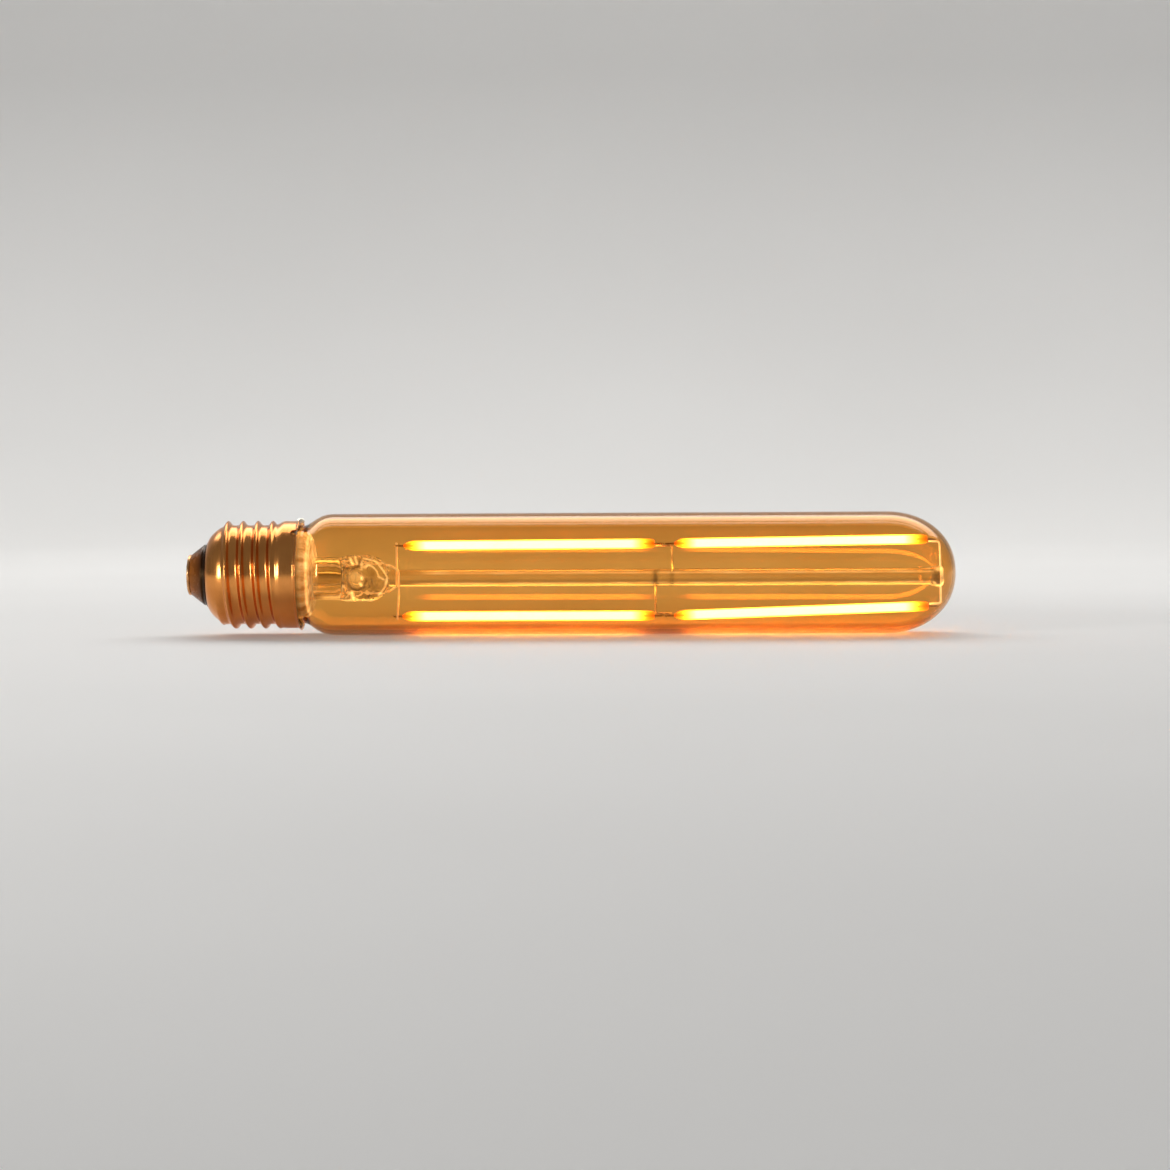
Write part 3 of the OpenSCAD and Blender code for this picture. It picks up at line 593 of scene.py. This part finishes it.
def press_lumps(x, y, z):
    """How far the press's front and back bulge at a place: waves, the port's rim and the folds round it."""
    q = Vector((x * 0.35, y * 0.2, z * 0.35))
    lift = 0.45 * noise.noise(q * 1.7) + 0.25 * noise.noise(q * 4.1)
    lift -= 0.5 * math.exp(-((x - press_x - 5.2 - 0.5 * noise.noise(q * 2)) / 0.55) ** 2)
    lift += 0.45 * math.exp(-((x - press_x - 0.3) / 0.6) ** 2)
    if y < 0:
        d = math.hypot(x - port.x, z - port.z)
        lift += 0.8 * math.exp(-((d - port_r - 0.45) / 0.42) ** 2) - 1.6 * smoothstep((port_r + 0.1 - d) / 0.9)
        lift += 0.9 * math.exp(-((x - port.x + 1.3) / 1.3) ** 2 - ((z - stem_z - 4.3) / 1.0) ** 2)
        lift += 0.8 * math.exp(-((x - port.x) / 1.2) ** 2 - ((z - stem_z + 4.2) / 1.2) ** 2)
    return lift


def stroke(x, z, width, *corners):
    """How near a place is to a line through the corners, which are counted from the port's centre."""
    p = Vector((x - port.x, z - port.z))
    best = 1e9
    for a, b in zip(corners, corners[1:]):
        a, b = Vector(a), Vector(b)
        t = min(1.0, max(0.0, (p - a).dot(b - a) / (b - a).length_squared))
        best = min(best, (p - a - (b - a) * t).length)
    return math.exp(-((best / width) ** 2))


def press_light(x, z):
    """Folds of the press that catch the light of the filaments, and those that lie in shade."""
    lit = max(
        0.22 * math.exp(-(((x - port.x) / 1.8) ** 2 + ((z - port.z + 0.2) / 1.9) ** 2) ** 2),
        1.0 * stroke(x, z, 0.32, (1.4, 0.2), (1.4, -0.2)),
        1.0 * stroke(x, z, 0.36, (0.9, -1.4), (1.2, -1.8)),
        0.8 * stroke(x, z, 0.34, (-1.5, 4.5), (-0.9, 3.3)),
        0.6 * stroke(x, z, 0.28, (-0.4, 4.8), (0.2, 3.4)),
        0.9 * stroke(x, z, 0.5, (-1.1, -3.7), (-0.9, -5.0)),
        0.35 * stroke(x, z, 0.3, (1.25, 4.2), (1.3, 1.9)),
        0.45 * stroke(x, z, 0.2, (2.1, 2.3), (2.9, 3.0), (3.9, 2.7), (4.9, 1.6), (5.4, 0.2), (6.6, -0.5)),
        0.5 * stroke(x, z, 0.22, (1.6, 4.6), (4.7, 3.9), (6.5, 1.6), (7.4, 0.0), (6.9, -2.2), (5.2, -4.3)),
    )
    shade = max(
        0.9 * stroke(x, z, 0.38, (-2.6, 2.6), (-1.05, 1.9), (0.35, 2.6), (1.05, 4.2)),
        0.9 * stroke(x, z, 0.38, (-1.9, -1.2), (-1.05, -2.6), (0.35, -3.05), (1.9, -2.1), (2.35, -0.5)),
        0.6 * stroke(x, z, 0.25, (0.0, 0.7), (0.0, -0.7)),
        0.5 * stroke(x, z, 1.0, (3.8, 1.2), (3.9, -3.2)),
    )
    return lit, shade


def mark_glass(obj, points, light):
    """Writes the vertex values that the stem's glass reads; light(p) gives milky, lit and shaded shares."""
    values = [light(p) for p in points]
    for i, name in enumerate(("flare", "lit", "shade")):
        mark = obj.data.attributes.new(name, "FLOAT", "POINT")
        mark.data.foreach_set("value", [min(1.0, max(0.0, v[i])) for v in values])


def stem_bend(x, r, a):
    """Shapes the revolved stem: its tube lies below the axis and is pressed flat at its end."""
    shoulder = smoothstep((x - flare_x + 1.2) / 1.2) if r <= stem_r + 0.6 else 0.0
    drop = stem_z * shoulder
    y, z = -r * math.sin(a), r * math.cos(a)
    squeeze = smoothstep((x - press_x + 1.6) / 3.4)
    if squeeze > 0 and r > 0:
        half = press_half_w
        reach = max(0.0, (x - (press_end - half)) / half)
        wide = half * math.sqrt(max(0.0, 1 - reach * reach))
        thick = press_half_t * (1 - 0.35 * reach ** 3) * (1 if wide > 0.4 else wide / 0.4)
        e = 2 / 2.6
        flat_y = -math.copysign(abs(math.sin(a)) ** e, math.sin(a)) * thick
        flat_z = math.copysign(abs(math.cos(a)) ** e, math.cos(a)) * wide
        y = y + (flat_y - y) * squeeze
        z = z + (flat_z - z) * squeeze
        fade = squeeze * smoothstep(wide / 1.5)
        y += math.copysign(press_lumps(x, y, z + drop) * fade * abs(math.sin(a)), y)
        z += 0.22 * fade * noise.noise(Vector((x * 0.8, y, z * 0.6))) * abs(math.cos(a))
    return (x, y, z + drop)


def stem():
    outside = [(lip_x, neck_r), (seal_x, neck_r)] + flare_outline(0)
    outside += [(flare_x, 9.0 - i * 0.75) for i in range(5)]
    outside += [(flare_x + 0.1, stem_r + 0.3), (flare_x + 0.4, stem_r)]
    outside += [(flare_x + 0.4 + (press_x - 1.6 - flare_x - 0.4) * i / 12, stem_r) for i in range(1, 13)]
    outside += [(press_x - 1.6 + (press_end - press_x + 1.6) * i / 72, stem_r) for i in range(1, 72)]
    outside += [(press_end, 0.0)]
    cavity = flare_x - 1.0
    bore_end = press_x - 0.4
    inside = [(lip_x, flare_outline(1.0)[0][1])] + flare_outline(1.0)[:-1]
    inside += [(cavity, 8.5 - i * 0.9) for i in range(5)]
    inside += [(cavity + 0.4 + (bore_end - cavity - 0.4) * i / 12, 4.0) for i in range(13)]
    inside += [(bore_end + 0.8, 0.0)]

    def bore_bend(x, r, a):
        drop = stem_z * smoothstep((x - cavity + 0.6) / 1.0) if r <= 5.0 else 0.0
        return (x, -r * math.sin(a), r * math.cos(a) + drop)

    n = 144
    points, faces, starts = [], [], []
    for outline, how in ((outside, stem_bend), (inside, bore_bend)):
        for x, r in outline:
            starts.append((len(points), r > 0))
            points.extend(ring(x, r, n, how) if r > 0 else [how(x, 0.0, 0.0)])
    split = len(outside)
    outer, inner = starts[:split], starts[split:]
    for side in (outer, inner):
        for (a, _), (b, is_ring) in zip(side, side[1:]):
            for j in range(n):
                k = (j + 1) % n
                faces.append((a + j, b + j, b + k, a + k) if is_ring else (a + j, b, a + k))
    a, b = outer[0][0], inner[0][0]
    faces += [(a + j, a + (j + 1) % n, b + (j + 1) % n, b + j) for j in range(n)]
    obj = piece("stem_and_press", points, faces, "stem_glass", ["stem_flare"])
    outward(obj)

    def light(p):
        x, y, z = p
        # Painted shade: next to the rim the milky share and its painted glow fade, and the glass is painted
        # dark
        by_rim = smoothstep((x - cap_length + 0.35) / 1.2)
        milky = (0.15 + 0.85 * by_rim) * (1.0 - smoothstep((x - flare_x - 0.15) / 0.3))
        # Painted highlights: a line along the cup's corner, the cup's top and bottom ends, and a line along the
        # bottom of the stem tube
        edge = 0.5 * math.exp(-(((x - flare_x + 0.45) / 0.3) ** 2)) if math.hypot(y, z) > 8.5 else 0.0
        ends = 0.35 * milky * smoothstep((abs(z) - 9.0) / 1.2)
        on_press = smoothstep((x - press_x + 1.5) / 1.5)
        lit, shade = press_light(x, z) if y < 0.3 and on_press > 0 else (0.0, 0.0)
        below = 0.0
        if y < 0.5:
            below = 0.55 * math.exp(-(((z - stem_z + 5.2) / 0.3) ** 2)) * smoothstep((x - flare_x - 1) / 2)
        return milky, max(edge, ends, lit * on_press, below), max(shade * on_press, 0.85 * (1 - by_rim))

    mark_glass(obj, points, light)


def support_rod():
    button_r = 2.5
    start = press_end - 0.6
    outline = [(start, 0.0), (start, rod_r * 0.6), (start + 0.5, rod_r)]
    outline += [(start + 0.5 + (button_start - 2.7 - start - 0.5) * i / 300, rod_r) for i in range(1, 301)]
    outline += [
        (button_start - 1.3, rod_r), (button_start - 0.6, rod_r + 0.05), (button_start - 0.2, rod_r + 0.22),
        (button_start + 0.3, button_r - 0.08), (button_start + 0.9, button_r), (button_end - 0.9, button_r),
        (button_end - 0.4, button_r - 0.15), (button_end - 0.15, button_r - 0.5), (button_end, button_r - 1.1),
        (button_end, 0.0),
    ]

    def bend(x, r, a):
        wave = 0.03 * noise.noise(Vector((x * 0.15, a, 3.0))) if r > 0 else 0.0
        return (x, -(r + wave) * math.sin(a), (r + wave) * math.cos(a) + stem_z)

    rod = turned("rod_with_button", outline, "stem_glass", 64, ["support_rod"], bend)

    def light(p):
        x, y, z = p
        height = (z - stem_z) / button_r
        off = (x - (button_start + button_end) / 2) / 1.1
        # Painted highlights: two bright lines along the rod and glints round the button. Painted shade across
        # the button's middle; the rod is also painted darker where the middle supports join it, more on its
        # lower side.
        if x < button_start + 0.1:
            side = (z - stem_z) / rod_r
            line = 0.3 * math.exp(-(((abs(side) - 0.6) / 0.13) ** 2)) * smoothstep((x - press_end - 3) / 8)
            knots = ((left_end + wire_r, 0.7), (right_start - 2 * wire_r, 0.3))
            joint = max(share * math.exp(-(((x - place) / 0.65) ** 2)) for place, share in knots)
            return 0.0, line * (1 - joint), joint * smoothstep((0.8 - side) / 0.8)
        cup = math.exp(-(((height + 0.92 - 0.4 * off * off) / 0.12) ** 2))
        top = 0.8 * math.exp(-(((height - 0.72) / 0.2) ** 2 + ((off - 0.1) / 0.8) ** 2))
        return 0.0, max(cup, top), 0.7 * math.exp(-(((height + 0.1) / 0.45) ** 2))

    mark_glass(rod, [v.co / MM for v in rod.data.vertices], light)


def crest(x, a):
    return ((1 + math.cos(2 * math.pi * (x - first_crest) / pitch - a)) / 2) ** crest_power


def shell_r(x, a):
    u = min(1.0, max(0.0, (x - mouth_x) / shoulder_length))
    base = mouth_r + (root_r - mouth_r) * (1 - (1 - u) ** 1.4) ** (1 / 1.4)
    begin = smoothstep(1 + (x - first_crest + pitch / 4) / (pitch * 0.35))
    finish = smoothstep((x - thread_end) / run_out)
    rim = smoothstep((x - cap_length + rim_length) / rim_length)
    thread = thread_depth * crest(x, a) * begin * (1 - finish)
    return base + thread + (skirt_r - root_r) * finish + (rim_r - skirt_r) * rim


def screw_cap():
    """Rolled shell with its helical thread, flared rim and the notch in the rim."""
    n = 180
    notch_a, notch_w, notch_length = math.radians(37), 1.7, 2.0
    places = [mouth_x + shoulder_length * (i / 14) ** 1.5 for i in range(14)]
    first = mouth_x + shoulder_length
    steps = int((cap_length - first) / 0.17)
    places += [first + (cap_length - first) * i / steps for i in range(steps + 1)]

    def notched(x, a):
        s = abs((a - notch_a + math.pi) % (2 * math.pi) - math.pi) * skirt_r
        cut = notch_length * max(0.0, 1 - s / (notch_w / 2))
        start = cap_length - notch_length - 0.8
        return x if x <= start else start + (x - start) * (cap_length - cut - start) / (cap_length - start)

    def at(x, a, wall):
        place = notched(x, a)
        r = shell_r(x, a) - wall
        dent = 0.05 * noise.noise(Vector((x * 0.3, math.sin(a) * 2, math.cos(a) * 2)))
        return (place, -(r + dent) * math.sin(a), (r + dent) * math.cos(a))

    points = []
    for wall, order in ((0.0, places), (shell_wall, places[::-1])):
        for x in order:
            points.extend(at(x, 2 * math.pi * j / n, wall) for j in range(n))
    total = 2 * len(places)
    faces = grid_faces(total, n)
    last = (total - 1) * n
    faces += [(last + j, last + (j + 1) % n, (j + 1) % n, j) for j in range(n)]
    obj = piece("threaded_cap", points, faces, "cap_metal", ["screw_shell"])
    outward(obj)


def cone_r(x):
    return contact_r + (mouth_r - contact_r) * (x - contact_height) / (mouth_x - contact_height)


def insulator_and_contact():
    groove = 0.3
    face_x, groove_x = contact_height + 0.03, 3.9
    outline = [(face_x, 0.0), (face_x, contact_r - 0.15), (contact_height + 0.1, contact_r)]
    cone = [contact_height + (groove_x - contact_height) * i / 10 for i in range(1, 11)]
    outline += [(x, cone_r(x)) for x in cone]
    outline += [(4.05, cone_r(4.05) - 0.18), (4.25, cone_r(4.2) - groove)]
    outline += [(4.55, cone_r(4.5) - groove), (4.7, cone_r(4.7) - 0.1)]
    outline += [(4.95, mouth_r - 0.25), (4.95, 7.7), (5.4, 7.8), (6.6, 10.4), (6.7, 10.2), (6.7, 0.0)]
    turned("insulator_cone", outline, "insulator", 96, ["cap_insulator"])

    contact = [(contact_height, 1.85), (0.35, 1.82), (0.06, 1.86), (0.0, 2.1)]
    contact += [(0.0, contact_r - 0.45)]
    edge = 0.35
    for turn in range(15, 91, 15):
        a = math.radians(turn)
        contact.append((edge * (1 - math.cos(a)), contact_r - edge + edge * math.sin(a)))
    contact += [(contact_height - 0.02, contact_r)]
    turned("contact_disc", contact, "contact_metal", 96, ["centre_contact"])

    def bumpy(x, r, a):
        lift = 0.05 * noise.noise(Vector((r * math.cos(a), r * math.sin(a), 1.0))) if r < 1.7 else 0.0
        return (max(0.0, x + lift), -r * math.sin(a), r * math.cos(a))

    solder = [
        (0.05, 0.0), (0.06, 0.5), (0.08, 1.0), (0.14, 1.4), (0.24, 1.7), (0.4, 1.78), (0.7, 1.74), (0.7, 0.0),
    ]
    turned("contact_solder_drop", solder, "solder", 48, ["contact_solder"], bumpy)


def cement_ring():
    start = thread_end + run_out
    end = cap_length

    def rough(x, r, a):
        lump = 0.12 * noise.noise(Vector((x * 0.9, math.sin(a) * 6, math.cos(a) * 6)))
        r2 = r - 0.06 if r > glass_r(x) + 0.4 else r
        x2 = x + (0.5 * lump - 0.15 if x > end - 0.3 else 0.0)
        return (x2, -r2 * math.sin(a), r2 * math.cos(a))

    outline = [(start + (end - start) * i / 12, skirt_r - 0.36) for i in range(12)]
    outline += [(end - 0.1, rim_r - 0.45)]
    inner = [end - (end - start) * i / 12 for i in range(13)]
    outline += [(x, glass_r(x) + 0.06) for x in inner]
    turned("cement_fill", outline, "cement", 120, ["capping_cement"], rough)


def rounded(path, reach, steps=6):
    out = [path[0]]
    for back, here, on in zip(path, path[1:], path[2:]):
        to_back, to_on = back - here, on - here
        rb, ro = min(reach, to_back.length * 0.4), min(reach, to_on.length * 0.4)
        for k in range(steps + 1):
            t = k / steps
            out.append(here + to_back.normalized() * rb * (1 - t) ** 2 + to_on.normalized() * ro * t ** 2)
    return out + [path[-1]]


def wire(name, path, r, slot, replaced, material=None):
    """Round wire with flat closed ends along a bent path."""
    sides, bend_reach = 20, 3.0 * r
    line = rounded([Vector(p) for p in path], bend_reach)
    points, faces = [], []
    for i, here in enumerate(line):
        along = (line[min(i + 1, len(line) - 1)] - line[max(i - 1, 0)]).normalized()
        side = along.cross(Vector((0, 1, 1))).normalized()
        up = side.cross(along)
        for j in range(sides):
            a = 2 * math.pi * j / sides
            points.append(here + (side * math.cos(a) + up * math.sin(a)) * r)
    faces = grid_faces(len(line), sides)
    for base, end in ((0, line[0]), ((len(line) - 1) * sides, line[-1])):
        points.append(end)
        centre = len(points) - 1
        faces += [(base + j, base + (j + 1) % sides, centre) for j in range(sides)]
    obj = piece(name, points, faces, slot, replaced, material)
    outward(obj)
    return obj


def row_z(row, x):
    start, middle, end, _ = rows[row]
    if x < (left_end + right_start) / 2:
        return start + (middle - start) * (x - first_x) / coat_length
    return middle + (end - middle) * (x - right_start) / coat_length


def on_row(row, x, dz=0.0):
    """Point of a filament's centre line, moved towards the rod by dz."""
    sign = 1 if row == "upper" else -1
    return Vector((x, rows[row][3], row_z(row, x) - sign * dz))


# Distance from a strip's middle to the wire that carries it: half the strip, the weld's gap, half the wire
CARRY = 0.2 + 0.08 + wire_r


def wires():
    spread_z = 3.2
    board_end = seal_x - 0.6 - 0.3
    x = first_x - 7 * wire_r
    wire("lead_wire_upper", [
        (board_end - 2.5, 2.0, -2.3), (board_end + 0.3, 1.5, -2.3),
        (seal_x + 2.5, 0, stem_z - spread_z), (press_end - wire_r, 0, stem_z - spread_z),
        (x, lead_side, stem_z - rod_r), (x, lead_side, row_z("upper", x) + 0.8),
    ], wire_r, "lead_metal", ["lead_in_wire_upper"])
    x = first_x - 3 * wire_r
    wire("lead_wire_lower", [
        (board_end - 2.5, -2.0, -0.7), (board_end + 0.3, -1.5, -0.7),
        (seal_x + 2.5, 0, stem_z + spread_z), (press_end - wire_r, 0, stem_z + spread_z),
        (x, -lead_side, stem_z + rod_r), (x, -lead_side, stem_z - 4.0),
        (x - 0.45, -lead_side, row_z("lower", x) - 0.8),
    ], wire_r, "lead_metal", ["lead_in_wire_lower"])
    for row in rows:
        stem_end = on_row(row, left_end + wire_r, CARRY)
        crown_end = on_row(row, right_start - 2 * wire_r, CARRY)
        corner, far = (crown_end, stem_end) if row == "upper" else (stem_end, crown_end)
        away = Vector((0, corner.y, corner.z - stem_z))
        root = away * (rod_r / 2) / away.length
        wire(f"middle_support_{row}", [far, corner, (corner.x, root.y, stem_z + root.z)],
             wire_r, "support_metal", [f"mid_support_{row}"])
    wire("crown_hoop", [
        on_row("upper", last_x + wire_r, CARRY), on_row("upper", crown_x, CARRY), Vector((crown_x, 0, stem_z)),
        on_row("lower", crown_x, CARRY), on_row("lower", last_x + wire_r, CARRY),
    ], wire_r, "support_metal", ["crown_wire"], material="lit_crown_metal")


def along_row(row, far, name, rings, slot, replaced, n=40, material=None):
    """Skin round a filament from rings of (place, half width, half height, power, distance to its end)."""
    x0, x1 = (right_start, last_x) if far else (first_x, left_end)
    a, b = on_row(row, x0), on_row(row, x1)
    axis = (b - a).normalized()
    side = Vector((0, 1, 0))
    up = side.cross(axis) * -1
    points, ends = [], []
    for place, wide, tall, power, end in rings:
        for j in range(n):
            t = 2 * math.pi * j / n
            c, s = math.cos(t), math.sin(t)
            u = math.copysign(abs(c) ** power, c) * wide
            v = math.copysign(abs(s) ** power, s) * tall
            points.append(a + axis * place + side * u + up * v)
            ends.append(end)
    faces = grid_faces(len(rings), n)
    for base in (0, (len(rings) - 1) * n):
        centre = Vector((0, 0, 0))
        for j in range(n):
            centre += points[base + j] / n
        points.append(centre)
        ends.append(ends[base])
        faces += [(base + j, base + (j + 1) % n, len(points) - 1) for j in range(n)]
    obj = piece(name, points, faces, slot, replaced, material)
    outward(obj)
    attribute = obj.data.attributes.new("end_mm", "FLOAT", "POINT")
    attribute.data.foreach_set("value", ends)
    return obj


def filament(row, far):
    """Coating with its left tip pointed and its right tip blunt, the lit core inside it and its metal strip."""
    where = "crown" if far else "stem"
    tip, taper = 0.75, 2.6
    steps = 14
    quarter = [math.pi / 2 * i / steps for i in range(steps + 1)]
    blunt = [(taper * (1 - math.cos(a)), tip + (coat_r - tip) * math.sin(a)) for a in quarter]
    thin, cover = 0.36, 0.66
    point = [(0.0, thin - 0.06)]
    point += [(0.04 + taper * i / steps, thin + (coat_r - thin) * math.sin(a)) for i, a in enumerate(quarter)]
    body = [(taper + (coat_length - 2 * taper) * i / 40, coat_r) for i in range(1, 40)]
    full = point + body + [(coat_length - p, r) for p, r in blunt[::-1]] + [(coat_length, tip * 0.7)]
    skin = [(p, max(r, cover) if p < taper else r, r, 1.0, min(p, coat_length - p)) for p, r in full]
    along_row(row, far, f"phosphor_{row}_{where}", skin, "filament_coating", [f"coating_{row}_{where}"])
    first, last = 1.6, coat_length - 1.6
    count = 96
    core = []
    for i in range(count + 1):
        p = first + (last - first) * i / count
        r = 0.72 * math.sqrt(min(1.0, (0.15 + min(p - first, last - p)) / 1.6))
        core.append((p, r, r * 0.9, 0.9, min(p, coat_length - p) - 1.0))
    along_row(row, far, f"lit_core_{row}_{where}", core, "filament_coating", (), 24, "filament_core")
    tab = (middle_gap - 0.3) / 2
    strip = [(-tab, 0.42, 0.18, 0.3, 0), (-tab + 0.12, 0.56, 0.2, 0.25, 0)]
    strip += [(-tab + 0.5, 0.6, 0.2, 0.2, 0), (coat_length + tab - 0.5, 0.6, 0.2, 0.2, 0)]
    strip += [(coat_length + tab - 0.12, 0.56, 0.2, 0.25, 0), (coat_length + tab, 0.42, 0.18, 0.3, 0)]
    along_row(row, far, f"strip_ends_{row}_{where}", strip, "strip_metal", [f"strip_{row}_{where}"], 32)


def blob(name, centre, radii, slot, replaced=(), wave=0.1, seed=0.0):
    """Small melted drop."""
    n, m = 28, 14
    points = [(centre[0] - radii[0], centre[1], centre[2])]
    for i in range(1, m):
        p = math.pi * i / m
        for j in range(n):
            a = 2 * math.pi * j / n
            d = Vector((-math.cos(p), math.sin(p) * math.cos(a), math.sin(p) * math.sin(a)))
            k = 1 + wave * noise.noise(d * 1.6 + Vector((seed, 0, 0)))
            points.append(tuple(c + step * r * k for c, step, r in zip(centre, d, radii)))
    points.append((centre[0] + radii[0], centre[1], centre[2]))
    faces = [(0, 1 + j, 1 + (j + 1) % n) for j in range(n)]
    faces += grid_faces(m - 1, n, 1)
    base = 1 + (m - 2) * n
    faces += [(base + j, base + (j + 1) % n, len(points) - 1) for j in range(n)]
    obj = piece(name, points, faces, slot, replaced)
    outward(obj)
    return obj


def drops():
    a = math.radians(10)
    r = rim_r - 0.35
    blob("rim_solder_drop", (cap_length + 0.25, -r * math.sin(a), r * math.cos(a)), (0.95, 0.85, 0.75),
         "solder", ["rim_solder"], 0.25)
    for row in rows:
        for where, x in (("stem", left_end + 1.2), ("crown", right_start - 1.0)):
            blob(f"weld_{row}_{where}", on_row(row, x, 0.24), (0.4, 0.42, 0.16), "support_metal", (), 0.2, x)


def floor_and_backdrop():
    """Pale floor that curves up into a pale backdrop."""
    m, nodes, links, shader = new_material("studio_sheet")
    tex = noise_node(nodes, links, 0.004, 2.0)
    ramp = ramp_node(nodes, links, tex.outputs["Fac"], [(0.3, (0.76, 0.75, 0.73)), (0.7, (0.80, 0.79, 0.77))])
    links.new(ramp.outputs["Color"], shader.inputs["Base Color"])
    shader.inputs["Roughness"].default_value = 0.9
    rays = nodes.new("ShaderNodeLightPath")
    seen = maths(nodes, links, "MAXIMUM", rays.outputs["Is Camera Ray"], rays.outputs["Is Glossy Ray"])
    seen = maths(nodes, links, "MAXIMUM", seen, rays.outputs["Is Transmission Ray"])
    place = nodes.new("ShaderNodeTexCoord")
    split = nodes.new("ShaderNodeSeparateXYZ")
    links.new(place.outputs["Object"], split.inputs["Vector"])
    lifts = []
    for from_y, to_y, from_lift, to_lift in ((350, -450, 0.03, 0.24), (-500, -2000, 0.0, 0.28)):
        lift = nodes.new("ShaderNodeMapRange")
        lift.interpolation_type = "SMOOTHSTEP"
        lift.inputs["From Min"].default_value = from_y * MM
        lift.inputs["From Max"].default_value = to_y * MM
        lift.inputs["To Min"].default_value = from_lift
        lift.inputs["To Max"].default_value = to_lift
        links.new(split.outputs["Y"], lift.inputs["Value"])
        lifts.append(lift.outputs["Result"])
    near = maths(nodes, links, "MULTIPLY", seen, lifts[0])
    far = maths(nodes, links, "MULTIPLY", rays.outputs["Is Camera Ray"], lifts[1])
    links.new(maths(nodes, links, "ADD", near, far), shader.inputs["Emission Strength"])
    links.new(ramp.outputs["Color"], shader.inputs["Emission Color"])
    floor_z = -tube_r - 0.02
    profile = [(-3000, floor_z), (500, floor_z)]
    radius = 350
    profile += [
        (500 + radius * math.sin(math.radians(b)), floor_z + radius - radius * math.cos(math.radians(b)))
        for b in range(6, 91, 6)
    ]
    profile += [(500 + radius, 2600)]
    points, faces = [], []
    for y, z in profile:
        points += [(-3500, y, z), (3700, y, z)]
    for i in range(len(profile) - 1):
        faces.append((2 * i, 2 * i + 1, 2 * i + 3, 2 * i + 2))
    mesh = bpy.data.meshes.new("studio_sheet")
    mesh.from_pydata([Vector(p) * MM for p in points], [], faces)
    mesh.polygons.foreach_set("use_smooth", [True] * len(mesh.polygons))
    mesh.materials.append(m)
    obj = bpy.data.objects.new("studio_sheet", mesh)
    scene.collection.objects.link(obj)


def lamp(name, place, target, size, power):
    data = bpy.data.lights.new(name, "AREA")
    data.shape = "RECTANGLE"
    data.size, data.size_y = size[0] * MM, size[1] * MM
    data.energy = power
    obj = bpy.data.objects.new(name, data)
    place, target = mm(*place), mm(*target)
    turn = (target - place).to_track_quat("-Z", "Y").to_matrix().to_4x4()
    obj.matrix_world = Matrix.Translation(place) @ turn
    scene.collection.objects.link(obj)


def lights():
    world = bpy.data.worlds.new("world")
    scene.world = world
    world.use_nodes = True
    back = world.node_tree.nodes["Background"]
    back.inputs["Color"].default_value = (0.95, 0.95, 0.96, 1)
    rays = world.node_tree.nodes.new("ShaderNodeLightPath")
    tree = world.node_tree
    seen = maths(tree.nodes, tree.links, "MULTIPLY_ADD", rays.outputs["Is Camera Ray"], 0.4, 0.2)
    tree.links.new(seen, back.inputs["Strength"])
    centre = (bulb_length / 2, 0, 0)
    lamp("key", (bulb_length / 2, 430, 520), centre, (1300, 300), 3.6)
    lamp("wash", (bulb_length / 2, 420, 1050), (bulb_length / 2, 900, 300), (1600, 200), 3.4)
    lamp("strip", (-480, -500, 105), (15, 0, 0), (70, 240), 2.4)


glass_tube()
stem()
support_rod()
screw_cap()
insulator_and_contact()
cement_ring()
wires()
for row_name in rows:
    for is_far in (False, True):
        filament(row_name, is_far)
drops()
floor_and_backdrop()
lights()

scene.view_settings.view_transform = "Standard"
